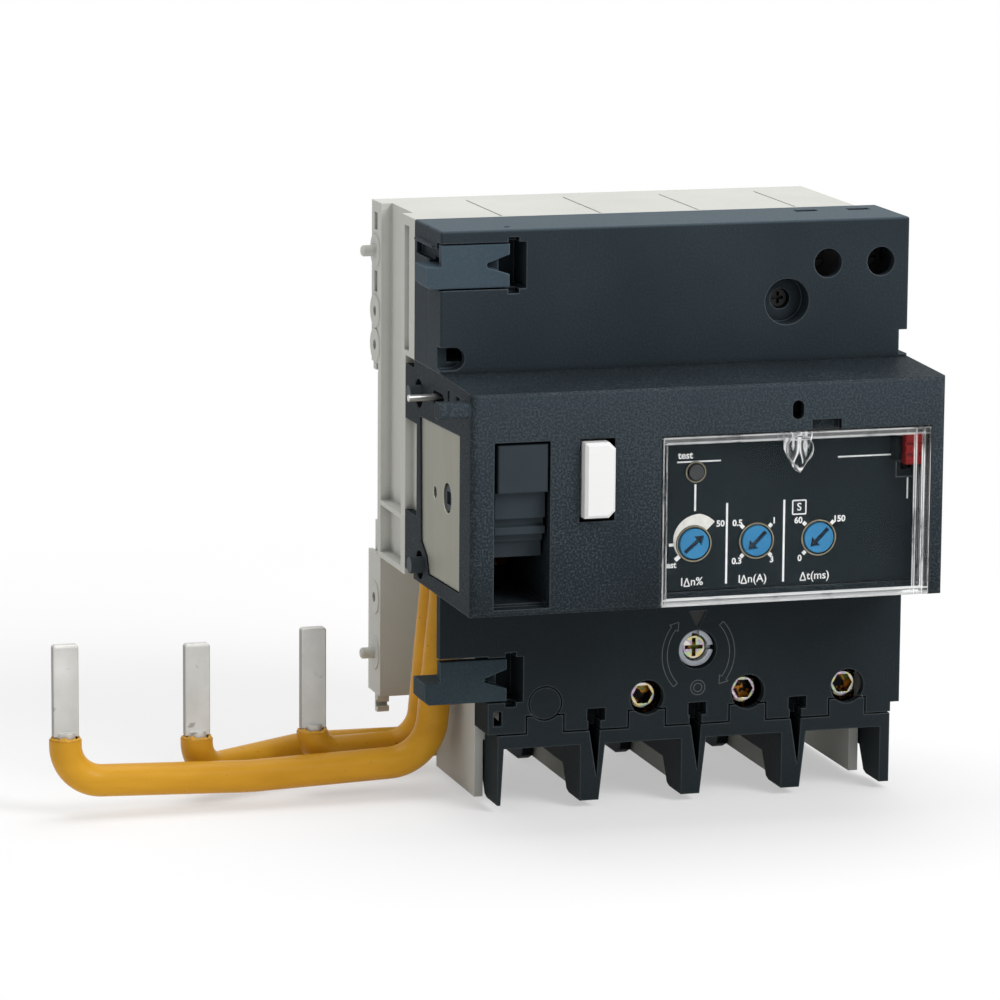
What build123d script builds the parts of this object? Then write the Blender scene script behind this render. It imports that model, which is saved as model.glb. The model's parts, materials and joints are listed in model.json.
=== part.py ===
from build123d import *
import os

os.makedirs("parts", exist_ok=True)

# ---------------------------------------------------------------------------
# Frame: X to the right, +Z up, the front towards -Y.  The origin is the middle
# of the rail seat.  A "depth" is a distance in front of the rail seat, -Y.
# ---------------------------------------------------------------------------

# Housing
module_width = 9.0
module_count = 11
half_width = module_width * module_count / 2
top_height = 51.5
bottom_height = 51.3
nose_half = 22.2
nose_depth = 70.0
nose_slope = 0.7
cover_depth = 47.4
upper_split = 28.0
lower_split = 37.8
base_right = 44.8
inner_left = 39.2
wall = 2.0
side_wall = 3.4
rear_wall = 2.2
shelf = 1.2
edge_round = 0.5

# Rail seat
rail_height = 35.0
rail_thickness = 1.0
rail_recess_top = 17.8
rail_recess_bottom = -22.5
upper_tail = 5.0
lower_tail = 7.0
tail_drop = 1.2
tail_bottom = -bottom_height - tail_drop
claw_reach = 1.2
seat_relief = 0.2
seat_top = 16.0
seat_bottom = -15.9

# Left flank of the base
channel_depth = 2.3
channel_back = 2.3
channel_front = 18.1
flange_back = 21.5
flange_thickness = 1.6
flange_half = 21.2
flange_notch_low = -9.0
flange_notch_high = 10.0
flange_notch_depth = 30.0

# Poles
pole_pitch = 21.66
pole_count = 4
first_pole = -27.1
terminal_rise = 5.9
terminal_height = terminal_rise - bottom_height
terminal_hole = 3.6
tab_half = 4.15
tab_top = terminal_height - 2.3
band_drop = 3.1
band_bottom = -bottom_height - band_drop
rib_drop = 11.7
rib_bottom = band_bottom - rib_drop
rib_width = 5.3
rib_draft = 1.4
rib_wall = 1.3
rib_groove = 8.0
stem_shift = -0.35
stem_half = 1.3
slot_depth = 4.6
slot_backing = 1.2
slot_rise = 1.7
slot_head = 2.6
shallow_bottom = rib_bottom + 5.3
shallow_back = 20.0
partition_bottom = rib_bottom - 0.2
partition_width = 1.8
partition_back = 0.6
partition_front = 35.7
end_wall_back = 9.6
foot_bottom = rib_bottom - 1.1
foot_front = 7.9
foot_back = -6.0
foot_round = 4.0
tunnel_half = 4.9
tunnel_back = 23.0
tunnel_front = 36.0

# Clearances
gap = 0.3
fine_gap = 0.2
running = 0.05
thread_gap = 0.1
press_gap = 0.02
tab_gap = 0.35

# Locking clips
clip_left = -49.3
clip_right = -35.3
clip_half = 4.4
clip_plate = 2.2
clip_hook_reach = 3.2
clip_hook_depth = 8.4
clip_pocket_depth = 8.8
tray_floor = 0.8
clip_pocket_right = -31.8
claw_recess = 1.3
clip_tab_half = 5.65
upper_clip_height = top_height - 7.2
claw_top = upper_clip_height + 3.3
lower_clip_height = -bottom_height + 11.2

# Nose front: coupling window, reset lever, settings bay
window_left = -44.9
window_right = -33.4
window_low = -20.8
window_high = 12.6
shaft_depth = nose_depth - 18.6
shaft_height = -1.4
shaft_radius = 2.6
lever_left = -26.9
lever_right = -20.6
lever_low = -2.9
lever_high = 12.2
lever_proud = 2.4
lever_slot_gap = 0.5
lever_pivot_depth = nose_depth - 3.0
lever_pin_radius = 0.9
lug_width = 1.4
bay_left = -10.5
bay_right = 46.5
bay_top = 12.5
panel_depth = nose_depth - 6.0
panel_thickness = 2.0
lid_front = nose_depth + 0.5
lid_wall = 1.2
lid_gap = 0.25
lid_side_wall = 0.8
lid_back = lid_front - 5.3
lid_pivot_depth = lid_front - 4.0
lid_pivot_height = -20.3
lid_pin_radius = 0.8
lid_pin_length = 1.3
pull_centre = 18.0

# Controls on the settings panel
dial_height = -10.5
first_dial = -1.6
dial_pitch = 13.2
dial_count = 3
dial_radius = 3.1
dial_ring = 3.7
dial_proud = 0.6
button_x = -1.4
button_height = 4.0
button_radius = 1.6
button_proud = 0.8
slider_left = 41.5
slider_right = 45.15
slider_low = 4.4
slider_high = 10.6
slider_front = nose_depth - 1.4
slider_travel = 3.0

# Coupling stub on the left flank of the nose
stub_reach = 6.4
stub_thickness = 3.4
stub_tall = 3.4
stub_round = 1.1
stub_height = 19.1

# Lock and printed-side features of the lower cover
lock_x = 5.3
lock_height = -bottom_height + 15.3
lock_hole = 4.05
lock_ring_outer = 3.75
lock_ring_inner = 2.75
lock_screw_radius = 2.6
lock_seat_depth = 39.0
lock_ring_length = 6.8
lock_head_length = 5.8
lock_slot_depth = 1.6
lock_cam_reach = 5.6
lock_cam_thickness = 1.8

# Trip linkage
trip_pivot_depth = shaft_depth - 5.4
trip_pivot_height = 8.0
trip_pin_depth = trip_pivot_depth - 2.6
trip_pin_height = 17.7
trip_pin_radius = 0.7
trip_pin_tip = -55.1
trip_shaft_radius = 1.2
frame_left = -47.3
frame_thickness = 1.2
frame_back = 28.6
frame_front = nose_depth - 3.0
frame_half = 19.8

# Side plate, as depth and height of its corners
plate_left = -49.1
plate_thickness = 0.9
plate_front_edge = nose_depth - 8.8
plate_hole_depth = shaft_depth - 9.0
plate_hole_height = -1.8
plate_hole_radius = 1.3
plate_corners = [
    (32.4, 11.8),
    (plate_front_edge, 12.6),
    (plate_front_edge, -18.7),
    (38.8, -19.2),
    (37.2, -15.8),
    (33.3, -13.4),
]

# Rail latches
latch_xs = (-46.2, 38.4)
latch_half = 2.2
latch_back = 5.6
latch_front = 3.5
latch_top = -16.1
latch_nose = 3.1
latch_bottom = tail_bottom - 4.7

# Pegs
guide_pegs = [(31.5, 16.6), (32.6, -18.5)]
guide_peg_radius = 1.7
guide_hole_radius = 3.0
guide_peg_reach = 2.2
peg_depth = -1.9
peg_heights = (top_height - 10.3, -bottom_height + 7.4)
peg_radius = 1.18
peg_root = 1.5
peg_reach = 3.1
peg_seat = 1.7
boss_proud = 0.25
boss_radius = 3.5

# Leads: insulation, conductor, and the three routes
insulation_radius = 3.3
conductor_radius = 2.1
blade_width = 5.2
blade_thickness = 2.4
lead_pitch = 7.5
lead_x = -42.6
lead_front = 28.0
inner_lead_x = -33.9
inner_lead_depth = 5.9
lead_end = -14.0

# Summation transformer
toroid_x = -23.4
toroid_length = 11.0
toroid_inner = 13.2
toroid_outer = 16.4
toroid_height = -4.5
winding_thickness = 1.0

# Terminals
cage_half = 4.7
cage_wall = 1.0
cage_back = 24.0
cage_front = 38.6
cage_low = terminal_height - 7.8
cage_high = terminal_height + 5.6
screw_radius = 2.3
screw_head_radius = 2.8
screw_head = 2.6
screw_recess = 3.0
screw_hex = 2.15
pressure_thickness = 1.8
bar_thickness = 2.0
bar_width = 7.0

# Main board above the rail and control board behind the settings panel
board_depth = 12.0
board_thickness = 1.6
board_left = -34.0
board_right = 18.0
board_high = top_height - 4.5
board_low = board_high - 22.0
control_board_depth = panel_depth - 9.6
post_inset = 3.0

# Auxiliary terminals above the nose
aux_centres = [32.0, 43.4]
aux_height = top_height - 8.9
aux_block_front = 36.6
aux_entry_back = 32.0
aux_entry_front = 34.6
aux_screw_front = 38.6
aux_hole = 2.95
aux_screw_radius = 2.4
fixing_x = 23.3
fixing_height = top_height - 16.5
fixing_hole = 4.7
fixing_core = 1.25
fixing_throat = 2.1
fixing_step = 43.0
fixing_floor = 39.0


def depth_plane(depth):
    """Plane facing the front at a depth; its axes are X and Z."""
    return Plane.XZ.offset(depth)


def side_plane(x):
    """Plane facing +X; its axes are Y and Z."""
    return Plane.YZ.offset(x)


def slab(x_low, x_high, back, front, z_low, z_high, mode=Mode.ADD):
    """Box between two X places, two depths and two heights."""
    with Locations(((x_low + x_high) / 2, -(back + front) / 2, (z_low + z_high) / 2)):
        Box(x_high - x_low, front - back, z_high - z_low, mode=mode)


def bore(x, z, radius, back, front, mode=Mode.SUBTRACT):
    """Round hole or boss along the depth axis."""
    with BuildSketch(depth_plane(back)) as outline:
        with Locations((x, z)):
            Circle(radius)
    extrude(outline.sketch, amount=front - back, mode=mode)


def cross_bore(depth, z, radius, x_low, x_high, mode=Mode.SUBTRACT):
    """Round hole or shaft along X."""
    with BuildSketch(side_plane(x_low)) as outline:
        with Locations((-depth, z)):
            Circle(radius)
    extrude(outline.sketch, amount=x_high - x_low, mode=mode)


def side_prism(corners, x_low, x_high, mode=Mode.ADD):
    """Prism along X over corners given as depth and height."""
    with BuildSketch(side_plane(x_low)) as outline:
        Polygon(*[(-depth, z) for depth, z in corners], align=None)
    extrude(outline.sketch, amount=x_high - x_low, mode=mode)


def front_prism(corners, back, front, mode=Mode.ADD):
    """Prism along the depth axis over corners given as X and Z."""
    with BuildSketch(depth_plane(back)) as outline:
        Polygon(*corners, align=None)
    extrude(outline.sketch, amount=front - back, mode=mode)


def save(piece, label):
    """Label a finished piece and write its STEP file."""
    piece.label = label
    export_step(piece, f"parts/{label}.step")


pole_xs = [first_pole + pole_pitch * index for index in range(pole_count)]
rib_xs = [x + pole_pitch / 2 for x in pole_xs[:-1]]
live_xs = pole_xs[1:]
nose_top = nose_half + nose_slope
shelf_bottom = -nose_half - 0.5
slot_low = -bottom_height + slot_rise
cavity_left = -half_width + side_wall
base_inner_right = base_right - wall
shroud_left = -inner_left + partition_width + gap
shroud_right = base_right + 2.5
outer_lead_depths = (lead_front, lead_front - lead_pitch)
toroid_depth = lead_front - lead_pitch
winding_outer = toroid_outer + winding_thickness
winding_inner = toroid_inner - winding_thickness
lever_pivot_height = (lever_low + lever_high) / 2
web_left = window_right + fine_gap
notch_radius = 2.3
notch_height = nose_top + 3.0
trip_slot = (trip_pin_depth - 0.4, trip_pivot_depth, trip_pivot_depth + 2.6)
board_post_xs = (board_left + post_inset, board_right - post_inset)
board_post_heights = (board_low + post_inset, board_high - post_inset)

# ---------------------------------------------------------------------------
# Base housing: light grey rear shell with the rail seat and cable tunnels
# ---------------------------------------------------------------------------
with BuildPart() as base_housing:
    slab(-half_width, base_right, 0, upper_split, shelf_bottom, top_height)
    slab(-inner_left, base_right, 0, lower_split, band_bottom, shelf_bottom)
    slab(-half_width, base_right, 0, channel_back, tail_bottom, shelf_bottom)
    slab(-half_width, base_right, -upper_tail, 0, rail_recess_top, top_height)
    slab(-half_width, base_right, -lower_tail, 0, tail_bottom, rail_recess_bottom)
    # Claw that hooks over the top edge of the rail
    slab(
        -half_width,
        base_right,
        -rail_thickness - 2 * claw_reach,
        -rail_thickness - gap,
        rail_height / 2 - claw_reach,
        rail_recess_top,
    )
    # Relief above and below the seat, so that the rail bears on its middle only
    for low, high in ((seat_top, rail_recess_top), (rail_recess_bottom, seat_bottom)):
        slab(-half_width - 1, base_right + 1, -gap, seat_relief, low, high, Mode.SUBTRACT)
    # Hollow inside, open to the front
    slab(
        cavity_left,
        base_inner_right,
        rear_wall,
        upper_split + 1,
        shelf_bottom + shelf,
        top_height - wall,
        Mode.SUBTRACT,
    )
    slab(
        -inner_left + partition_width,
        base_inner_right,
        rear_wall,
        lower_split + 1,
        band_bottom + wall,
        shelf_bottom + 2 * shelf,
        Mode.SUBTRACT,
    )
    # Seat for the flange of the nose cover
    slab(
        -half_width - 1,
        -half_width + flange_thickness + fine_gap,
        flange_back - fine_gap,
        upper_split + 1,
        shelf_bottom - 1,
        nose_top,
        Mode.SUBTRACT,
    )
    # Channel and pocket down the left flank
    slab(
        -half_width - 1,
        -half_width + channel_depth,
        channel_back,
        channel_front,
        flange_notch_low - 1.6,
        top_height + 1,
        Mode.SUBTRACT,
    )
    slab(
        -half_width - 1,
        -half_width + channel_depth,
        channel_back,
        channel_front,
        shelf_bottom + shelf,
        flange_notch_low - 2.6,
        Mode.SUBTRACT,
    )
    # Long slot in the flank beside the upper cover
    slab(-half_width - 1, -half_width + 1, 20.3, 23.9, nose_top + 1, top_height - 2, Mode.SUBTRACT)
    # Round bosses and rectangular recesses down the rear strip
    plain_bosses = (rail_recess_top + 10.8, rail_recess_top + 3.7, rail_recess_bottom - 9.5)
    for height in (*peg_heights, *plain_bosses):
        cross_bore(peg_depth, height, boss_radius, -half_width - boss_proud, -half_width + 1, Mode.ADD)
    for height in plain_bosses:
        cross_bore(peg_depth, height, 1.1, -half_width - 1, -half_width + 1.5)
    for drop, length in ((5.9, 3.6), (18.9, 4.4)):
        slab(-half_width - 1, -half_width + 1, -3.0, -0.6, top_height - drop, top_height - drop + length,
             Mode.SUBTRACT)
    for height in peg_heights:
        cross_bore(peg_depth, height, peg_root, -half_width - 1, -half_width + peg_seat)
    # Holes for the two outer leads through the shelf and the inner lead through the floor
    for depth in outer_lead_depths:
        with Locations((lead_x, -depth, shelf_bottom)):
            Cylinder(insulation_radius + gap, 4 * shelf, mode=Mode.SUBTRACT)
    with Locations((inner_lead_x, -inner_lead_depth, band_bottom)):
        Cylinder(insulation_radius + gap, 3 * wall, mode=Mode.SUBTRACT)
    # Cable tunnels up to the terminals, between the partition walls
    for x in pole_xs:
        slab(
            x - tunnel_half,
            x + tunnel_half,
            tunnel_back,
            tunnel_front,
            band_bottom - 1,
            band_bottom + wall + 1,
            Mode.SUBTRACT,
        )
    for x in rib_xs:
        slab(
            x - partition_width / 2,
            x + partition_width / 2,
            partition_back,
            partition_front,
            partition_bottom,
            band_bottom + wall,
        )
    slab(
        -inner_left,
        -inner_left + partition_width,
        end_wall_back,
        lower_split,
        partition_bottom,
        band_bottom,
    )
    slab(
        base_inner_right,
        base_right,
        partition_back,
        partition_front,
        partition_bottom,
        band_bottom,
    )
    # Weight-saving pockets in the back of both tails
    for x in (-30.0, -8.0, 14.0, 31.0):
        slab(x - 8, x + 8, -upper_tail - 1, -1, rail_recess_top + 4, top_height - 3, Mode.SUBTRACT)
    for x in (-24.0, 0.0, 22.0):
        slab(x - 9, x + 9, -lower_tail - 1, -1, tail_bottom + 3, rail_recess_bottom - 3, Mode.SUBTRACT)
    # Guides for the two rail latches
    for x in latch_xs:
        slab(x - latch_half - fine_gap, x + latch_half + fine_gap, -lower_tail - 1, -latch_front + fine_gap,
             tail_bottom - 1, rail_recess_bottom + 1, Mode.SUBTRACT)
    # Boss for the fixing screw and posts for the main board
    bore(fixing_x, fixing_height, 3.4, 0, fixing_floor - wall - gap, Mode.ADD)
    bore(fixing_x, fixing_height, fixing_core, rear_wall, fixing_floor)
    for x in board_post_xs:
        for z in board_post_heights:
            bore(x, z, 2.0, 0, board_depth - fine_gap, Mode.ADD)
    # Cradle for the summation transformer
    slab(toroid_x - 3, toroid_x + 3, rear_wall - 1, 9, toroid_height - 13, toroid_height + 13)
    cross_bore(toroid_depth, toroid_height, winding_outer + fine_gap, toroid_x - 4, toroid_x + 4)
    # Panel lines across the top
    for x in (-31.0, -10.0, 11.0, 32.0):
        slab(x - 0.2, x + 0.2, 1, upper_split - 1, top_height - 0.3, top_height + 1, Mode.SUBTRACT)
save(base_housing.part, "base_housing")

# ---------------------------------------------------------------------------
# Upper cover: shell above the nose, with the clip pocket and the access holes
# ---------------------------------------------------------------------------
with BuildPart() as upper_cover:
    slab(-half_width, half_width, upper_split, cover_depth, nose_top, top_height)
    slab(
        -half_width + wall,
        half_width - wall,
        upper_split - 1,
        cover_depth - wall,
        nose_top + wall,
        top_height - wall,
        Mode.SUBTRACT,
    )
    fillet(upper_cover.edges().filter_by(Axis.X).group_by(Axis.Y)[0].sort_by(Axis.Z)[-1], edge_round)
    fillet(upper_cover.faces().sort_by(Axis.Y)[0].edges().filter_by(Axis.Z), edge_round)
    # Raised rear band of the left side
    slab(
        -half_width - 1,
        -half_width + 0.3,
        upper_split + 9.4,
        upper_split + 9.8,
        nose_top - 1,
        top_height + 1,
        Mode.SUBTRACT,
    )
    # Tray that carries the clip, open to the left
    slab(
        -half_width,
        clip_pocket_right + wall,
        cover_depth - clip_pocket_depth - tray_floor,
        cover_depth - wall,
        upper_clip_height - clip_half - wall,
        upper_clip_height + clip_half + wall,
    )
    slab(
        -half_width - 1,
        clip_pocket_right,
        cover_depth - clip_pocket_depth,
        cover_depth + 1,
        upper_clip_height - clip_half - gap,
        upper_clip_height + clip_half + gap,
        Mode.SUBTRACT,
    )
    slab(
        clip_right - gap,
        clip_right + 2,
        cover_depth - wall - 1,
        cover_depth + 1,
        upper_clip_height - clip_tab_half,
        upper_clip_height + clip_tab_half,
        Mode.SUBTRACT,
    )
    # Claw that the breaker's own hook meets, above the hook of the clip
    slab(
        -half_width,
        clip_left + 2.6,
        cover_depth - clip_pocket_depth - 1,
        cover_depth - clip_plate - 1.2,
        upper_clip_height + 1.2,
        upper_clip_height + clip_half + 1,
    )
    # Cup of the claw in the flank, with a small lip above it
    slab(-half_width - 1, -half_width + claw_recess, upper_split + claw_recess, cover_depth - clip_plate - 1,
         upper_clip_height + 0.6, claw_top, Mode.SUBTRACT)
    slab(-half_width - 0.5, -half_width + 0.5, upper_split + claw_recess, cover_depth - clip_plate - 3,
         claw_top, claw_top + 0.5)
    # Round-ended notch on the left and square notch on the right
    slab(-half_width - 1, -46.8, cover_depth - wall - 1, cover_depth + 1, notch_height - notch_radius,
         notch_height + notch_radius, Mode.SUBTRACT)
    bore(-46.8, notch_height, notch_radius, cover_depth - wall - 1, cover_depth + 1)
    slab(half_width - 1.9, half_width + 1, cover_depth - 6, cover_depth + 1,
         notch_height - notch_radius - fine_gap, notch_height + notch_radius + fine_gap, Mode.SUBTRACT)
    # Access holes to the auxiliary terminal screws
    for x in aux_centres:
        bore(x, aux_height, aux_hole, cover_depth - wall - 1, cover_depth + 1)
        slab(x - 2.4, x + 2.4, aux_entry_back, aux_entry_front, top_height - wall - 1, top_height + 1,
             Mode.SUBTRACT)
    # Tube of the fixing screw
    bore(fixing_x, fixing_height, fixing_hole + 1.4, fixing_floor - wall, cover_depth - 1, Mode.ADD)
    bore(fixing_x, fixing_height, fixing_hole, fixing_step, cover_depth + 1)
    bore(fixing_x, fixing_height, fixing_throat, fixing_floor, fixing_step + 1)
    bore(fixing_x, fixing_height, fixing_core + fine_gap, fixing_floor - wall - 1, fixing_floor + 1)
    with Locations((-34.8, -43.3, top_height)):
        Cylinder(0.7, 4, mode=Mode.SUBTRACT)
save(upper_cover.part, "upper_cover")

# ---------------------------------------------------------------------------
# Nose cover: the deep middle section with window, lever slot and settings bay
# ---------------------------------------------------------------------------
nose_profile = [
    (upper_split, -nose_half),
    (nose_depth - 0.8, -nose_half),
    (nose_depth, -nose_half + 0.8),
    (nose_depth, nose_half - 0.4),
    (nose_depth - 0.6, nose_half),
    (cover_depth, nose_top),
    (upper_split, nose_top),
]
with BuildPart() as nose_cover:
    side_prism(nose_profile, -half_width, half_width)
    fillet(nose_cover.faces().sort_by(Axis.Y)[0].edges().filter_by(Axis.Z), 3 * edge_round)
    slab(
        -half_width + wall,
        half_width - wall,
        upper_split - 1,
        nose_depth - wall,
        -nose_half + wall,
        nose_half - wall,
        Mode.SUBTRACT,
    )
    # Flange that laps the flank of the base, notched in its middle
    slab(
        -half_width,
        -half_width + flange_thickness,
        flange_back,
        upper_split,
        -flange_half,
        flange_half,
    )
    slab(
        -half_width - 1,
        -half_width + flange_thickness + gap,
        flange_back - 1,
        flange_notch_depth,
        flange_notch_low,
        flange_notch_high,
        Mode.SUBTRACT,
    )
    # Opening for the side plate, a ledge behind it, and the shaft hole in the ledge
    with BuildSketch(side_plane(-half_width - 1)) as plate_opening:
        Polygon(*[(-depth, z) for depth, z in plate_corners], align=None)
        offset(amount=fine_gap)
    extrude(plate_opening.sketch, amount=plate_left + plate_thickness + half_width + 1.1, mode=Mode.SUBTRACT)
    cross_bore(shaft_depth, shaft_height, shaft_radius + 0.6, -half_width - 1, -half_width + wall + 1)
    cross_bore(plate_hole_depth, plate_hole_height, plate_hole_radius + gap, -half_width - 1,
               -half_width + wall + 1)
    # Peg holes, the swing slot of the trip pin and the small openings beside it
    for depth, height in guide_pegs:
        cross_bore(depth, height, guide_hole_radius, -half_width - 1, -half_width + wall + 1)
    for depth in trip_slot:
        cross_bore(depth, 17.6, 1.5, -half_width - 1, -half_width + wall + 1)
    slab(-half_width - 1, -half_width + wall + 1, trip_slot[0], trip_slot[-1], 16.1, 19.1, Mode.SUBTRACT)
    slab(-half_width - 1, -half_width + 1, shaft_depth + 0.9, shaft_depth + 2.6, 17.4, 20.6, Mode.SUBTRACT)
    side_prism(
        [
            (nose_depth - 13.0, 17.6),
            (nose_depth - 8.6, 17.6),
            (nose_depth - 8.6, 20.4),
            (nose_depth - 11.6, 20.4),
        ],
        -half_width - 1,
        -half_width + 1,
        Mode.SUBTRACT,
    )
    # Coupling stub that stands out of the flank near the front
    with BuildSketch(side_plane(-half_width - stub_reach)) as stub_profile:
        with Locations((stub_thickness / 2 - nose_depth + 1, stub_height)):
            RectangleRounded(stub_thickness, stub_tall, stub_round)
    extrude(stub_profile.sketch, amount=stub_reach + 0.5)
    # Web that carries the right end of the coupling shaft, and lugs of the lever pin
    slab(web_left, web_left + wall, shaft_depth - 7.4, nose_depth - 1, -nose_half + 1, nose_half - 1)
    cross_bore(shaft_depth, shaft_height, shaft_radius + running, web_left - 1, web_left + wall + 1)
    for x_low in (lever_left - lever_slot_gap - lug_width, lever_right + lever_slot_gap):
        slab(x_low, x_low + lug_width, lever_pivot_depth - 2.5, nose_depth - 1, lever_pivot_height - 2.5,
             lever_pivot_height + 2.5)
        cross_bore(lever_pivot_depth, lever_pivot_height, lever_pin_radius + press_gap, x_low - 1,
                   x_low + lug_width + 1)
    # Coupling window and lever slot
    slab(window_left, window_right, nose_depth - wall - 1, nose_depth + 1, window_low, window_high,
         Mode.SUBTRACT)
    slab(
        lever_left - lever_slot_gap,
        lever_right + lever_slot_gap,
        nose_depth - wall - 1,
        nose_depth + 1,
        lever_low - 2 * lever_slot_gap,
        lever_high + lever_slot_gap,
        Mode.SUBTRACT,
    )
    # Settings bay: side walls and rear ledge, then the opening, which breaks through below
    slab(
        bay_left - wall,
        half_width - 0.5,
        panel_depth - panel_thickness,
        nose_depth - 1,
        -nose_half + 0.5,
        bay_top + wall,
    )
    slab(
        bay_left + wall,
        bay_right - wall,
        panel_depth - panel_thickness - 1,
        panel_depth,
        -nose_half + wall + 1,
        bay_top - wall,
        Mode.SUBTRACT,
    )
    slab(bay_left, bay_right, panel_depth, nose_depth + 1, -nose_half - 1, bay_top, Mode.SUBTRACT)
    slab(
        bay_left + wall / 2,
        bay_right - wall / 2,
        panel_depth - panel_thickness,
        panel_depth + 0.5,
        -nose_half + wall,
        bay_top - wall / 2,
        Mode.SUBTRACT,
    )
    for x_low, x_high in ((bay_left - lid_pin_length, bay_left), (bay_right, bay_right + lid_pin_length)):
        cross_bore(lid_pivot_depth, lid_pivot_height, lid_pin_radius + running, x_low, x_high)
    # Finger notch above the lid and the sealing eye
    slab(21.0, 27.2, nose_depth - 1.6, nose_depth + 1, bay_top - 0.1, bay_top + 2.1, Mode.SUBTRACT)
    with BuildSketch(depth_plane(nose_depth - wall - 3)) as eye:
        with Locations((pull_centre, 16.7)):
            SlotOverall(3.8, 2.4, rotation=90)
    extrude(eye.sketch, amount=6, mode=Mode.SUBTRACT)
    # Relief for the front lead where it rises behind the bottom wall
    slab(
        lead_x - insulation_radius - gap,
        lead_x + insulation_radius + gap,
        upper_split - 1,
        lead_front + insulation_radius + gap,
        -nose_half - 1,
        -nose_half + wall + 1,
        Mode.SUBTRACT,
    )
save(nose_cover.part, "nose_cover")

# ---------------------------------------------------------------------------
# Lower cover: castellated front over the terminals, with the lower clip
# ---------------------------------------------------------------------------
with BuildPart() as lower_cover:
    slab(-inner_left, half_width - 0.2, lower_split, cover_depth, -bottom_height, -nose_half)
    slab(
        -inner_left + wall,
        half_width - 0.2 - wall,
        lower_split - 1,
        cover_depth - wall,
        -bottom_height - 1,
        -nose_half - wall,
        Mode.SUBTRACT,
    )
    slab(-half_width, -inner_left, cover_depth - wall, cover_depth, lower_clip_height + clip_half + 2 * gap,
         -nose_half)
    slab(
        47.4,
        half_width + 1,
        lower_split - 1,
        cover_depth + 1,
        -bottom_height - 1,
        -bottom_height + 2.0,
        Mode.SUBTRACT,
    )
    # Tray that carries the clip
    slab(
        -inner_left,
        clip_pocket_right + wall,
        cover_depth - clip_pocket_depth - tray_floor,
        cover_depth - wall,
        lower_clip_height - clip_half - wall,
        lower_clip_height + clip_half + wall,
    )
    slab(
        -half_width - 1,
        clip_pocket_right,
        cover_depth - clip_pocket_depth,
        cover_depth + 1,
        lower_clip_height - clip_half - gap,
        lower_clip_height + clip_half + gap,
        Mode.SUBTRACT,
    )
    slab(
        clip_right - gap,
        clip_right + 2,
        cover_depth - wall - 1,
        cover_depth + 1,
        lower_clip_height - clip_tab_half,
        lower_clip_height + clip_tab_half,
        Mode.SUBTRACT,
    )
    # Square hole below the clip
    slab(-38.0, -36.3, cover_depth - wall - 1, cover_depth + 1, slot_low, slot_low + 3.0, Mode.SUBTRACT)
    # Notches for the tabs of the shroud, and the screw access holes above them
    for x in pole_xs:
        slab(
            x - tab_half,
            x + tab_half,
            cover_depth - wall - 1,
            cover_depth + 1,
            -bottom_height - 1,
            tab_top,
            Mode.SUBTRACT,
        )
        bore(x, terminal_height, terminal_hole, cover_depth - wall - 1, cover_depth + 1)
    # T-slots between the poles, closed behind
    for x in rib_xs:
        slab(x - 3.2, x + 3.2, cover_depth - slot_depth - slot_backing, cover_depth - wall, -bottom_height,
             slot_low + slot_head + 0.8)
        slab(x - 1.95, x + 1.95, cover_depth - slot_depth, cover_depth + 1, slot_low, slot_low + slot_head,
             Mode.SUBTRACT)
        slab(
            x + stem_shift - stem_half,
            x + stem_shift + stem_half,
            cover_depth - slot_depth,
            cover_depth + 1,
            -bottom_height - 1,
            slot_low + 0.1,
            Mode.SUBTRACT,
        )
    # Seat of the lock with its bearing tube
    bore(lock_x, lock_height, lock_hole + 1.2, lock_seat_depth - wall, cover_depth - 1, Mode.ADD)
    bore(lock_x, lock_height, lock_hole, lock_seat_depth, cover_depth + 1)
    bore(
        lock_x,
        lock_height,
        lock_screw_radius - 1 + running,
        lock_seat_depth - wall - 1,
        lock_seat_depth + 1,
    )
    # Pointer mark above the lock
    front_prism(
        [(lock_x - 1.9, lock_height + 8.0), (lock_x + 1.9, lock_height + 8.0), (lock_x, lock_height + 4.5)],
        cover_depth - 0.4,
        cover_depth + 1,
        Mode.SUBTRACT,
    )
save(lower_cover.part, "lower_cover")

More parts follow.
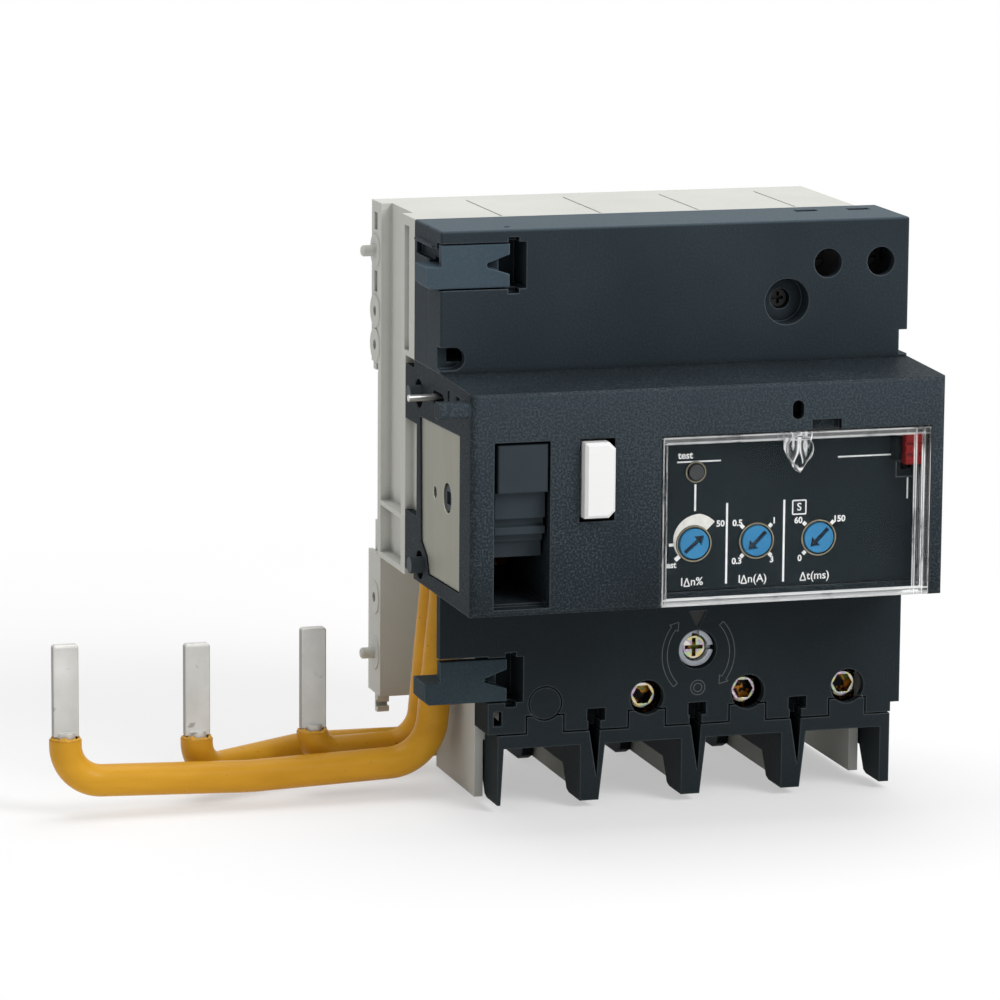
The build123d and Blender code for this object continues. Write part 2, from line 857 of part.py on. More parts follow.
# ---------------------------------------------------------------------------
# Terminal shroud: comb of ribs that separates the outgoing cables
# ---------------------------------------------------------------------------
rib_profile = [
    (shallow_back, band_bottom - fine_gap),
    (lower_split + gap, band_bottom - fine_gap),
    (lower_split + gap, band_bottom + 0.1),
    (cover_depth, band_bottom + 0.1),
    (cover_depth, rib_bottom),
    (cover_depth - 7.6, rib_bottom),
    (cover_depth - 9.2, rib_bottom + 0.5),
    (cover_depth - 9.9, rib_bottom + 1.8),
    (cover_depth - 11.9, shallow_bottom),
    (shallow_back, shallow_bottom),
]
with BuildPart() as terminal_shroud:
    slab(
        shroud_left,
        shroud_right,
        lower_split + gap,
        cover_depth,
        band_bottom,
        -bottom_height - tab_gap,
    )
    for x in pole_xs:
        slab(
            x - tab_half + tab_gap,
            x + tab_half - tab_gap,
            cover_depth - wall,
            cover_depth,
            -bottom_height - 1,
            tab_top - tab_gap,
        )
        slab(x - tunnel_half, x + tunnel_half, lower_split - 1, cover_depth - wall, band_bottom - 1,
             -bottom_height + 1, Mode.SUBTRACT)
        bore(x, terminal_height, terminal_hole, cover_depth - wall - 1, cover_depth + 1)
    side_prism(rib_profile, shroud_left, shroud_left + rib_wall)
    front_prism(
        [
            (shroud_left + rib_wall, band_bottom),
            (shroud_left + rib_wall + 1, band_bottom),
            (shroud_left + rib_wall + 1, rib_bottom - 1),
            (shroud_left + rib_wall - rib_draft / 2, rib_bottom - 1),
        ],
        shallow_back - 1,
        cover_depth + 1,
        Mode.SUBTRACT,
    )
    side_prism(rib_profile, shroud_right - rib_wall - 0.8, shroud_right)
    for x in rib_xs:
        left = x - rib_width / 2 - 0.7
        side_prism(rib_profile, left, left + rib_width)
        # Room for the partition wall of the base between the two skins
        slab(
            x - partition_width / 2 - fine_gap,
            x + partition_width / 2 + fine_gap,
            shallow_back - 1,
            partition_front + fine_gap,
            rib_bottom - 1,
            band_bottom + 1,
            Mode.SUBTRACT,
        )
        # Wedge groove down the front and the draft of the right face
        front_prism(
            [
                (x + stem_shift - stem_half, -bottom_height + 1),
                (x + stem_shift + stem_half, -bottom_height + 1),
                (x + 0.2, rib_bottom + 4.5),
            ],
            cover_depth - rib_groove,
            cover_depth + 1,
            Mode.SUBTRACT,
        )
        front_prism(
            [
                (left + rib_width, band_bottom),
                (left + rib_width + 1, band_bottom),
                (left + rib_width + 1, rib_bottom - 1),
                (left + rib_width - rib_draft, rib_bottom - 1),
            ],
            shallow_back - 1,
            cover_depth + 1,
            Mode.SUBTRACT,
        )
save(terminal_shroud.part, "terminal_shroud")

with BuildPart() as blank_plug:
    bore(first_pole, terminal_height, terminal_hole - gap, cover_depth - 2.6, cover_depth - 0.1, Mode.ADD)
save(blank_plug.part, "blank_plug")

# ---------------------------------------------------------------------------
# Small fixed pieces of the shell
# ---------------------------------------------------------------------------
foot_profile = [
    (foot_back, tail_bottom - fine_gap),
    (foot_back, foot_bottom),
    (foot_front - foot_round, foot_bottom),
    (foot_front - 0.3 * foot_round, foot_bottom + 0.3 * foot_round),
    (foot_front, foot_bottom + foot_round),
    (foot_front, tail_bottom - fine_gap),
]
with BuildPart() as rear_feet:
    for x in rib_xs:
        side_prism(foot_profile, x - 3.4, x + 1.4)
        slab(x - 4, x + 2, -fine_gap, foot_front + 1, band_bottom - fine_gap, tail_bottom + 1, Mode.SUBTRACT)
        # Room for the partition wall of the base
        slab(x - partition_width / 2 - fine_gap, x + 2, partition_back - fine_gap, foot_front + 1,
             foot_bottom - 1, tail_bottom, Mode.SUBTRACT)
save(rear_feet.part, "rear_feet")

with BuildPart() as locating_pins:
    for height in peg_heights:
        cross_bore(
            peg_depth,
            height,
            peg_radius,
            -half_width - peg_reach,
            -half_width,
            Mode.ADD,
        )
    chamfer(locating_pins.faces().filter_by(Axis.X).group_by(Axis.X)[0].edges(), 0.35)
    for height in peg_heights:
        cross_bore(peg_depth, height, peg_root - press_gap, -half_width - boss_proud,
                   -half_width + peg_seat - fine_gap, Mode.ADD)
save(locating_pins.part, "locating_pegs")

with BuildPart() as cover_screw:
    bore(fixing_x, fixing_height, fixing_throat - fine_gap, fixing_floor + press_gap, fixing_floor + 2.6,
         Mode.ADD)
    bore(fixing_x, fixing_height, fixing_core - press_gap, 12.0, fixing_floor + 1, Mode.ADD)
    for width, height in ((2.4, 0.6), (0.6, 2.4)):
        slab(
            fixing_x - width / 2,
            fixing_x + width / 2,
            fixing_floor + 1.4,
            fixing_floor + 3,
            fixing_height - height / 2,
            fixing_height + height / 2,
            Mode.SUBTRACT,
        )
save(cover_screw.part, "cover_screw")

# ---------------------------------------------------------------------------
# Locking clips, one in each cover, that slide sideways
# ---------------------------------------------------------------------------
for label, height in (("upper_clip", upper_clip_height), ("lower_clip", lower_clip_height)):
    with BuildPart() as clip:
        slab(clip_left, clip_right, cover_depth - clip_plate, cover_depth - 0.1, height - clip_half,
             height + clip_half)
        slab(
            clip_left - clip_hook_reach,
            clip_left + 3.4,
            cover_depth - clip_hook_depth,
            cover_depth - 0.1,
            height - clip_half,
            height + 0.1,
        )
        chamfer(clip.faces().sort_by(Axis.X)[0].edges().filter_by(Axis.Y).sort_by(Axis.Z)[0], 0.9)
        slab(
            clip_left + 3.4,
            clip_right - 1.4,
            cover_depth - clip_pocket_depth + fine_gap,
            cover_depth - clip_plate,
            height - 2.3,
            height + 2.3,
        )
        # Rounded V notch for a screwdriver
        front_prism(
            [
                (clip_right + 1, height + 2.6),
                (-39.4, height + 0.75),
                (-39.4, height - 0.45),
                (clip_right + 1, height - 2.1),
            ],
            cover_depth - clip_plate - 1,
            cover_depth + 1,
            Mode.SUBTRACT,
        )
        bore(-39.4, height + 0.15, 0.62, cover_depth - clip_plate - 1, cover_depth + 1)
        fillet(clip.edges().filter_by(Axis.X).group_by(Axis.Y)[0], 0.25)
    save(clip.part, label)

# ---------------------------------------------------------------------------
# Side frame and plate, coupling shaft and its linked handle
# ---------------------------------------------------------------------------
frame_right = frame_left + frame_thickness
with BuildPart() as side_frame:
    slab(frame_left, frame_right, frame_back, frame_front, -frame_half, frame_half)
    for depth, height in guide_pegs:
        cross_bore(
            depth,
            height,
            guide_peg_radius,
            -half_width - guide_peg_reach,
            frame_left + 0.1,
            Mode.ADD,
        )
    cross_bore(shaft_depth, shaft_height, shaft_radius + running, frame_left - 1, frame_right + 1)
    cross_bore(
        trip_pivot_depth,
        trip_pivot_height,
        trip_shaft_radius,
        frame_left,
        frame_right + 4.3,
        Mode.ADD,
    )
    for depth in trip_slot:
        cross_bore(depth, 17.8, 1.3, frame_left - 1, frame_right + 1)
    slab(frame_left - 1, frame_right + 1, trip_slot[0], trip_slot[-1], 16.5, 19.1, Mode.SUBTRACT)
save(side_frame.part, "side_frame")

with BuildPart() as mechanism_plate:
    side_prism(plate_corners, plate_left, plate_left + plate_thickness)
    cross_bore(shaft_depth, shaft_height, shaft_radius + 0.5, plate_left - 1, plate_left + 2)
    cross_bore(plate_hole_depth, plate_hole_height, plate_hole_radius, plate_left - 1, plate_left + 2)
save(mechanism_plate.part, "mechanism_plate")

with BuildPart() as coupling_shaft:
    cross_bore(shaft_depth, shaft_height, shaft_radius, plate_left + 0.3, web_left + wall, Mode.ADD)
    slab(plate_left - 1, plate_left + 2.4, shaft_depth - 1.3, shaft_depth + 1.3, shaft_height - 1.3,
         shaft_height + 1.3, Mode.SUBTRACT)
save(coupling_shaft.part, "coupling_shaft")

link_profile = [
    (shaft_depth - 3.0, 4.4),
    (nose_depth - 8.0, 12.0),
    (nose_depth - 0.4, 12.0),
    (nose_depth - 0.4, 2.4),
    (nose_depth - 2.6, 2.2),
    (nose_depth - 2.6, -3.0),
    (nose_depth - 3.8, -3.2),
    (nose_depth - 3.8, -4.4),
    (nose_depth - 2.6, -4.8),
    (nose_depth - 2.6, -6.2),
    (nose_depth - 4.4, -6.6),
    (nose_depth - 4.4, -7.8),
    (nose_depth - 5.4, -8.0),
    (nose_depth - 5.4, -11.2),
    (shaft_depth + 2.0, -7.0),
    (shaft_depth - 4.0, -5.0),
]
with BuildPart() as link_handle:
    side_prism(link_profile, window_left + 0.9, window_right - gap)
    fillet(link_handle.faces().sort_by(Axis.Y)[0].edges(), 0.4)
    slab(window_left + 2.6, window_right + 1, shaft_depth + 4.5, nose_depth - 5, -5.0, 0.8, Mode.SUBTRACT)
    cross_bore(shaft_depth, shaft_height, shaft_radius + press_gap, window_left - 1, window_right + 1)
save(link_handle.part, "link_handle")

# ---------------------------------------------------------------------------
# Trip linkage: lever on its stub axle, steel pin, relay and plunger
# ---------------------------------------------------------------------------
lever_left_face = frame_right + gap
lever_right_face = lever_left_face + 4.0
arm = [
    (trip_pivot_depth - 1.5, trip_pivot_height),
    (trip_pin_depth - 1.5, trip_pin_height),
    (trip_pin_depth + 1.5, trip_pin_height),
    (trip_pivot_depth + 1.5, trip_pivot_height),
]
with BuildPart() as trip_lever:
    side_prism(arm, lever_left_face, lever_right_face)
    cross_bore(trip_pivot_depth, trip_pivot_height, 2.5, lever_left_face, lever_right_face, Mode.ADD)
    cross_bore(trip_pin_depth, trip_pin_height, 1.5, lever_left_face, lever_right_face, Mode.ADD)
    cross_bore(
        trip_pivot_depth,
        trip_pivot_height,
        trip_shaft_radius + running,
        frame_left,
        lever_left_face + 6,
    )
    cross_bore(trip_pin_depth, trip_pin_height, trip_pin_radius + press_gap, frame_left, lever_left_face + 6)
save(trip_lever.part, "trip_lever")

with BuildPart() as trip_pin:
    cross_bore(
        trip_pin_depth,
        trip_pin_height,
        trip_pin_radius,
        trip_pin_tip,
        lever_right_face,
        Mode.ADD,
    )
    chamfer(trip_pin.edges().filter_by(GeomType.CIRCLE), 0.12)
save(trip_pin.part, "trip_pin")

relay_left = -44.0
relay_right = -31.8
relay_front = trip_pin_depth - 2.8
plunger_radius = 1.0
plunger_x = relay_left + plunger_radius + 0.8
plunger_height = 13.0
with BuildPart() as trip_relay:
    slab(relay_left, relay_right, frame_back, relay_front, 5.0, nose_half - wall - fine_gap)
    bore(plunger_x, plunger_height, plunger_radius + running, relay_front - 6, relay_front + 1)
    fillet(trip_relay.edges().filter_by(Axis.Y), 0.8)
save(trip_relay.part, "trip_relay")

with BuildPart() as relay_plunger:
    bore(plunger_x, plunger_height, plunger_radius, relay_front - 5.5, relay_front + 2.2, Mode.ADD)
save(relay_plunger.part, "relay_plunger")

# ---------------------------------------------------------------------------
# Reset lever and its pin
# ---------------------------------------------------------------------------
corner = 1.3
lever_outline = [
    (lever_left, lever_low),
    (lever_right - corner, lever_low),
    (lever_right, lever_low + corner),
    (lever_right, lever_high - corner),
    (lever_right - corner, lever_high),
    (lever_left, lever_high),
]
with BuildPart() as reset_lever:
    front_prism(lever_outline, nose_depth - wall - 3.5, nose_depth + lever_proud)
    chamfer(reset_lever.faces().sort_by(Axis.Y)[0].edges(), 0.6)
    cross_bore(lever_pivot_depth, lever_pivot_height, 2.8, lever_left, lever_right, Mode.ADD)
    cross_bore(
        lever_pivot_depth,
        lever_pivot_height,
        lever_pin_radius + running,
        lever_left - 1,
        lever_right + 1,
    )
save(reset_lever.part, "reset_lever")

with BuildPart() as lever_pin:
    cross_bore(
        lever_pivot_depth,
        lever_pivot_height,
        lever_pin_radius,
        lever_left - lever_slot_gap - lug_width,
        lever_right + lever_slot_gap + lug_width,
        Mode.ADD,
    )
save(lever_pin.part, "lever_pin")

# ---------------------------------------------------------------------------
# Settings panel with its button, dials, slider and sealing lid
# ---------------------------------------------------------------------------
panel_left = bay_left + wall / 2 + fine_gap
panel_right = bay_right - wall / 2 - fine_gap
panel_low = -nose_half + wall + fine_gap
panel_high = bay_top - wall / 2 - fine_gap
dial_xs = [first_dial + dial_pitch * index for index in range(dial_count)]
board_front = control_board_depth + board_thickness
slot_x = (slider_left + slider_right) / 2
stem_low = slider_low + 1.6
stem_high = slider_high - 1.6
with BuildPart() as settings_panel:
    slab(panel_left, panel_right, panel_depth - panel_thickness, panel_depth, panel_low, panel_high)
    # Collars round the dials and the button
    for x in dial_xs:
        bore(x, dial_height, dial_ring, panel_depth - 0.5, panel_depth + 0.3, Mode.ADD)
        bore(x, dial_height, dial_radius + fine_gap, panel_depth - panel_thickness - 1, panel_depth + 1)
    bore(button_x, button_height, button_radius + 0.6, panel_depth - 0.5, panel_depth + 0.25, Mode.ADD)
    bore(
        button_x,
        button_height,
        button_radius + fine_gap,
        panel_depth - panel_thickness - 1,
        panel_depth + 1,
    )
    # Guide rail and slot of the disconnect slider
    slab(slider_left - 1.5, slider_left - gap, panel_depth - 0.5, panel_depth + 3.0, 4.9, 9.8)
    slab(
        slot_x - 1.1,
        slot_x + 1.1,
        panel_depth - panel_thickness - 1,
        panel_depth + 1,
        stem_low - slider_travel - gap,
        stem_high + gap,
        Mode.SUBTRACT,
    )
    # Posts that carry the control board
    for x in (-7.0, 33.0):
        for z in (-17.0, 8.0):
            bore(x, z, 1.6, board_front, panel_depth - 1, Mode.ADD)
save(settings_panel.part, "settings_panel")

with BuildPart() as control_board:
    slab(-8.8, 34.8, control_board_depth, board_front, -18.8, 9.8)
save(control_board.part, "control_board")

with BuildPart() as potentiometers:
    for x in dial_xs:
        slab(x - 3.6, x + 3.6, board_front, panel_depth - 4.6, dial_height - 3.6, dial_height + 3.6)
        bore(x, dial_height, 1.5 + running, board_front + 0.6, panel_depth)
save(potentiometers.part, "potentiometers")

arrow = [(-2.6, -0.42), (0.9, -0.42), (0.9, -1.25), (2.6, 0.0), (0.9, 1.25), (0.9, 0.42), (-2.6, 0.42)]
for index, (x, angle) in enumerate(zip(dial_xs, (40.0, -135.0, -135.0))):
    with BuildPart() as dial:
        bore(
            x,
            dial_height,
            dial_radius,
            panel_depth - panel_thickness - 1,
            panel_depth + dial_proud,
            Mode.ADD,
        )
        bore(x, dial_height, dial_radius + 0.5, panel_depth - panel_thickness - 1.2,
             panel_depth - panel_thickness - fine_gap, Mode.ADD)
        bore(x, dial_height, 1.5, board_front + 0.9, panel_depth - panel_thickness - 1.0, Mode.ADD)
        chamfer(dial.faces().sort_by(Axis.Y)[0].edges(), 0.2)
        with BuildSketch(depth_plane(panel_depth + dial_proud - 0.6)) as arrow_slot:
            with Locations(Location((x, dial_height), angle)):
                Polygon(*arrow, align=None)
        extrude(arrow_slot.sketch, amount=2, mode=Mode.SUBTRACT)
    save(dial.part, f"dial_{index + 1}")

with BuildPart() as test_button:
    bore(button_x, button_height, button_radius, panel_depth - panel_thickness - 1.0,
         panel_depth + button_proud, Mode.ADD)
    bore(button_x, button_height, button_radius + 0.6, panel_depth - panel_thickness - 1.4,
         panel_depth - panel_thickness - fine_gap, Mode.ADD)
    bore(button_x, button_height, 0.9, board_front + 0.9, panel_depth - panel_thickness - 1.2, Mode.ADD)
    fillet(test_button.faces().sort_by(Axis.Y)[0].edges(), 0.3)
save(test_button.part, "test_button")

with BuildPart() as disconnect_slider:
    slab(slider_left, slider_right, panel_depth + gap, slider_front, slider_low, slider_high)
    slab(
        slot_x - 0.9,
        slot_x + 0.9,
        panel_depth - panel_thickness - 1.2,
        panel_depth + 1,
        stem_low,
        stem_high,
    )
    slab(
        slot_x - 1.7,
        slot_x + 1.7,
        panel_depth - panel_thickness - 1.6,
        panel_depth - panel_thickness - fine_gap,
        stem_low,
        stem_high,
    )
    for z in (6.4, 8.6):
        slab(slider_left - 1, slider_right + 1, slider_front - 0.5, slider_front + 1, z - 0.3, z + 0.3,
             Mode.SUBTRACT)
save(disconnect_slider.part, "disconnect_slider")

lid_left = bay_left + lid_gap
lid_right = bay_right - lid_gap
lid_low = -nose_half + gap
lid_high = bay_top - lid_gap
with BuildPart() as clear_lid:
    slab(lid_left, lid_right, lid_back, lid_front, lid_low, lid_high)
    fillet(clear_lid.edges().filter_by(Axis.X).group_by(Axis.Y)[-1].sort_by(Axis.Z)[0], 0.9)
    slab(
        lid_left + lid_wall,
        lid_right - lid_side_wall,
        lid_back - 1,
        lid_front - lid_wall,
        lid_low - 1,
        lid_high - lid_wall,
        Mode.SUBTRACT,
    )
    slab(lid_left, lid_right, lid_front - 2.6, lid_front, lid_low, lid_low + lid_wall)
    fillet(clear_lid.faces().sort_by(Axis.Y)[0].edges(), 0.3)
    for x, turn in ((lid_left, -1), (lid_right, 1)):
        pin_ends = sorted((x - 0.5 * turn, x + lid_pin_length * turn))
        cross_bore(lid_pivot_depth, lid_pivot_height, lid_pin_radius, *pin_ends, Mode.ADD)
    # Teardrop pull tab
    with BuildSketch(depth_plane(lid_front - 0.2)) as pull:
        with Locations((pull_centre, 9.0)):
            Circle(2.8)
        Polygon((pull_centre - 2.5, 8.0), (pull_centre + 2.5, 8.0), (pull_centre, 4.3), align=None)
    extrude(pull.sketch, amount=1.4)
save(clear_lid.part, "clear_lid")

# ---------------------------------------------------------------------------
# Lock: fixed ring and half-turn screw with its cam
# ---------------------------------------------------------------------------
lock_ring_front = lock_seat_depth + lock_ring_length
with BuildPart() as lock_ring:
    bore(lock_x, lock_height, lock_ring_outer, lock_seat_depth, lock_ring_front, Mode.ADD)
    bore(lock_x, lock_height, lock_ring_inner, lock_seat_depth - 1, lock_ring_front + 1)
    slab(
        lock_x - 0.8,
        lock_x + 0.8,
        lock_ring_front - lock_slot_depth,
        lock_ring_front + 1,
        lock_height + 2,
        lock_height + 5,
        Mode.SUBTRACT,
    )
    slab(
        lock_x + 2,
        lock_x + 5,
        lock_ring_front - lock_slot_depth,
        lock_ring_front + 1,
        lock_height - 0.5,
        lock_height + 0.5,
        Mode.SUBTRACT,
    )
save(lock_ring.part, "lock_ring")

cam_back = lock_seat_depth - lock_cam_reach
lock_head_front = lock_seat_depth + lock_head_length
with BuildPart() as lock_screw:
    bore(lock_x, lock_height, lock_screw_radius, lock_seat_depth + fine_gap, lock_head_front, Mode.ADD)
    chamfer(lock_screw.faces().sort_by(Axis.Y)[0].edges(), 0.3)
    bore(lock_x, lock_height, lock_screw_radius - 1, cam_back, lock_seat_depth + 1, Mode.ADD)
    slab(lock_x - 1.6, lock_x + 1.6, cam_back, cam_back + lock_cam_thickness, lock_height - 1.6,
         lock_height + 3.4)
    for across, tall in ((1.9, 0.4), (0.4, 1.9)):
        slab(lock_x - across, lock_x + across, lock_head_front - lock_slot_depth, lock_head_front + 1,
             lock_height - tall, lock_height + tall, Mode.SUBTRACT)
save(lock_screw.part, "lock_screw")

# ---------------------------------------------------------------------------
# Terminals: cages, pressure plates, screws and busbars
# ---------------------------------------------------------------------------
with BuildPart() as terminal_cages:
    for x in live_xs:
        slab(x - cage_half, x + cage_half, cage_back, cage_front, cage_low + 1.2, cage_high)
        slab(
            x - cage_half + cage_wall,
            x + cage_half - cage_wall,
            cage_back + cage_wall,
            cage_front - cage_wall,
            cage_low,
            cage_high + 1,
            Mode.SUBTRACT,
        )
        bore(x, terminal_height, screw_radius + thread_gap, cage_front - cage_wall - 1, cage_front + 1)
save(terminal_cages.part, "terminal_cages")

plate_front = cage_front - cage_wall - gap
head_front = cover_depth - screw_recess
for index, x in enumerate(live_xs):
    with BuildPart() as pressure_plate:
        slab(x - 3.4, x + 3.4, plate_front - pressure_thickness, plate_front, terminal_height - 5.2,
             terminal_height + 4.4)
        fillet(pressure_plate.edges().filter_by(Axis.Z), 0.4)
    save(pressure_plate.part, f"pressure_plate_{index + 1}")
    with BuildPart() as terminal_screw:
        bore(x, terminal_height, screw_radius, plate_front + press_gap, head_front - 1, Mode.ADD)
        bore(x, terminal_height, screw_head_radius, head_front - screw_head, head_front, Mode.ADD)
        chamfer(terminal_screw.faces().sort_by(Axis.Y)[0].edges(), 0.35)
        with BuildSketch(depth_plane(head_front - screw_head + gap)) as socket:
            with Locations((x, terminal_height)):
                RegularPolygon(screw_hex, 6)
        extrude(socket.sketch, amount=4, mode=Mode.SUBTRACT)
    save(terminal_screw.part, f"terminal_screw_{index + 1}")

bar_back = cage_back + cage_wall + fine_gap
bar_top = toroid_height + bar_width / 2
bus_depths = (lead_front, lead_front - lead_pitch, lead_front - 2 * lead_pitch)
bus_joggles = (-14.0, -30.0, -30.0)
with BuildPart() as busbars:
    for x, depth, joggle in zip(live_xs, bus_depths, bus_joggles):
        back = depth - bar_thickness / 2
        left = x - bar_width / 2
        right = x + bar_width / 2
        nearer = min(back, bar_back)
        farther = max(back, bar_back) + bar_thickness
        slab(lead_end, right, back, back + bar_thickness, bar_top - bar_width, bar_top)
        slab(left, right, back, back + bar_thickness, joggle, bar_top)
        slab(left, right, nearer, farther, joggle, joggle + bar_thickness)
        slab(left, right, bar_back, bar_back + bar_thickness, cage_low + 1.4, joggle + 1)
save(busbars.part, "busbars")

# ---------------------------------------------------------------------------
# Summation transformer round the three leads
# ---------------------------------------------------------------------------
with BuildPart() as toroid_core:
    cross_bore(toroid_depth, toroid_height, toroid_outer, toroid_x - toroid_length / 2,
               toroid_x + toroid_length / 2, Mode.ADD)
    cross_bore(toroid_depth, toroid_height, toroid_inner, toroid_x - toroid_length, toroid_x + toroid_length)
save(toroid_core.part, "toroid_core")

winding_half = toroid_length / 2 + winding_thickness
with BuildPart() as toroid_winding:
    cross_bore(toroid_depth, toroid_height, winding_outer, toroid_x - winding_half, toroid_x + winding_half,
               Mode.ADD)
    cross_bore(
        toroid_depth,
        toroid_height,
        winding_inner,
        toroid_x - winding_half - 1,
        toroid_x + winding_half + 1,
    )
    fillet(toroid_winding.edges().filter_by(GeomType.CIRCLE), 0.7)
    cross_bore(
        toroid_depth,
        toroid_height,
        toroid_outer + press_gap,
        toroid_x - toroid_length / 2 - press_gap,
        toroid_x + toroid_length / 2 + press_gap,
    )
save(toroid_winding.part, "toroid_winding")

# ---------------------------------------------------------------------------
# Leads to the breaker: stiff formed conductors in insulation, with flat blades
# Each route runs from the busbar, through the transformer, out below and left
# ---------------------------------------------------------------------------
lead_routes = [
    (
        [
            (lead_end, lead_front, toroid_height),
            (lead_x, lead_front, toroid_height),
            (lead_x, lead_front, -25.0),
            (-46.2, 28.0, -60.2),
            (-84.0, 28.3, -61.4),
            (-122.0, 28.0, -60.2),
            (-122.0, 28.0, -51.6),
        ],
        (5.5, 40.0, 9.5, 60.0, 7.6),
    ),
    (
        [
            (lead_end, lead_front - 2 * lead_pitch, toroid_height),
            (inner_lead_x, lead_front - 2 * lead_pitch, toroid_height),
            (inner_lead_x, lead_front - 2 * lead_pitch, -22.0),
            (inner_lead_x, inner_lead_depth, -42.0),
            (inner_lead_x, inner_lead_depth, -61.8),
            (-67.0, 8.0, -61.0),
            (-93.2, 20.6, -61.8),
            (-93.2, 20.6, -54.6),
        ],
        (4.5, 14.0, 14.0, 6.0, 16.0, 6.2),
    ),
    (
        [
            (lead_end, lead_front - lead_pitch, toroid_height),
            (lead_x, lead_front - lead_pitch, toroid_height),
            (lead_x, lead_front - lead_pitch, -25.0),
            (-45.8, 20.7, -58.7),
            (-69.0, 21.4, -59.2),
            (-69.0, 21.4, -54.4),
        ],
        (5.5, 40.0, 8.0, 4.6),
    ),
]
blade_tops = (-32.0, -34.8, -32.6)
bare_end = 1.6
for index, ((route, radii), blade_top) in enumerate(zip(lead_routes, blade_tops)):
    points = [(x, -depth, z) for x, depth, z in route]
    end_x, end_y, end_z = points[-1]
    with BuildPart() as insulation:
        with BuildLine() as path:
            centre_line = FilletPolyline(*points, radius=list(radii))
        with BuildSketch(Plane(origin=centre_line @ 0, z_dir=centre_line % 0)):
            Circle(insulation_radius)
            Circle(conductor_radius + running, mode=Mode.SUBTRACT)
        sweep(path=path.line)
    save(insulation.part, f"lead_insulation_{index + 1}")
    with BuildPart() as conductor:
        with BuildLine() as path:
            centre_line = FilletPolyline(*points, radius=list(radii))
        with BuildSketch(Plane(origin=centre_line @ 0, z_dir=centre_line % 0)):
            Circle(conductor_radius)
        sweep(path=path.line)
        with Locations((end_x, end_y, end_z + bare_end / 2)):
            Cylinder(conductor_radius, bare_end)
        with BuildSketch(Plane.XY.offset(end_z + bare_end / 2)):
            with Locations((end_x, end_y)):
                RectangleRounded(blade_width, blade_thickness, 0.3)
        extrude(amount=blade_top - end_z - bare_end / 2)
        fillet(conductor.edges().filter_by(Axis.Y).group_by(Axis.Z)[-1], 0.7)
    save(conductor.part, f"lead_conductor_{index + 1}")
    print("lead", index + 1, "length", round(centre_line.length, 1), "radii", radii)

# ---------------------------------------------------------------------------
# Boards and auxiliary terminals
# ---------------------------------------------------------------------------
with BuildPart() as main_board:
    slab(board_left, board_right, board_depth, board_depth + board_thickness, board_low, board_high)
save(main_board.part, "main_board")

board_face = board_depth + board_thickness
with BuildPart() as board_components:
    for x, radius, length in ((-22.0, 4.0, 9.0), (-11.0, 3.1, 7.0), (-3.0, 2.4, 6.0)):
        bore(x, board_high - 7.0, radius, board_face, board_face + length, Mode.ADD)
    slab(-28.0, -16.0, board_face, board_face + 3.4, board_low + 3.5, board_low + 8.5)
    slab(-10.0, 2.0, board_face, board_face + 2.4, board_low + 3.0, board_low + 8.0)
    slab(8.0, 14.0, board_face, board_face + 6.0, board_low + 7.0, board_low + 17.0)
save(board_components.part, "board_components")

block_left = aux_centres[0] - 4.6
block_right = aux_centres[1] + 3.7
with BuildPart() as aux_terminal_block:
    slab(block_left, block_right, upper_split + gap, aux_block_front, aux_height - 5.6,
         top_height - wall - fine_gap)
    for x in aux_centres:
        bore(x, aux_height, aux_screw_radius + thread_gap, aux_entry_back - 2, aux_block_front + 1)
        slab(x - 2.4, x + 2.4, aux_entry_back, aux_entry_front, aux_height + 1, top_height, Mode.SUBTRACT)
save(aux_terminal_block.part, "aux_terminal_block")

for index, x in enumerate(aux_centres):
    with BuildPart() as aux_screw:
        bore(x, aux_height, aux_screw_radius, aux_entry_front + gap, aux_screw_front, Mode.ADD)
        chamfer(aux_screw.faces().sort_by(Axis.Y)[0].edges(), 0.25)
        slab(x - 2.6, x + 2.6, aux_screw_front - 1, aux_screw_front + 1, aux_height - 0.4, aux_height + 0.4,
             Mode.SUBTRACT)
    save(aux_screw.part, f"aux_screw_{index + 1}")

# ---------------------------------------------------------------------------
# Rail latches: slide down to free the rail
# ---------------------------------------------------------------------------
for label, x in zip(("rail_latch_left", "rail_latch_right"), latch_xs):
    with BuildPart() as rail_latch:
        slab(x - latch_half, x + latch_half, -latch_back, -latch_front, tail_bottom + 0.4, latch_top)
        slab(
            x - latch_half,
            x + latch_half,
            -latch_back,
            -rail_thickness - gap,
            latch_top - latch_nose,
            latch_top,
        )
        slab(x - latch_half, x + 0.3, -latch_back, -latch_front, latch_bottom, tail_bottom + 0.5)
        cross_bore(-latch_back + 1.4, latch_bottom + 1.8, 0.8, x - 3, x + 3)
        fillet(rail_latch.edges().filter_by(Axis.X).group_by(Axis.Z)[0], 0.5)
    save(rail_latch.part, label)
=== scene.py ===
import json
from math import cos, pi, radians, sin

import bmesh
import bpy
from mathutils import Matrix, Vector


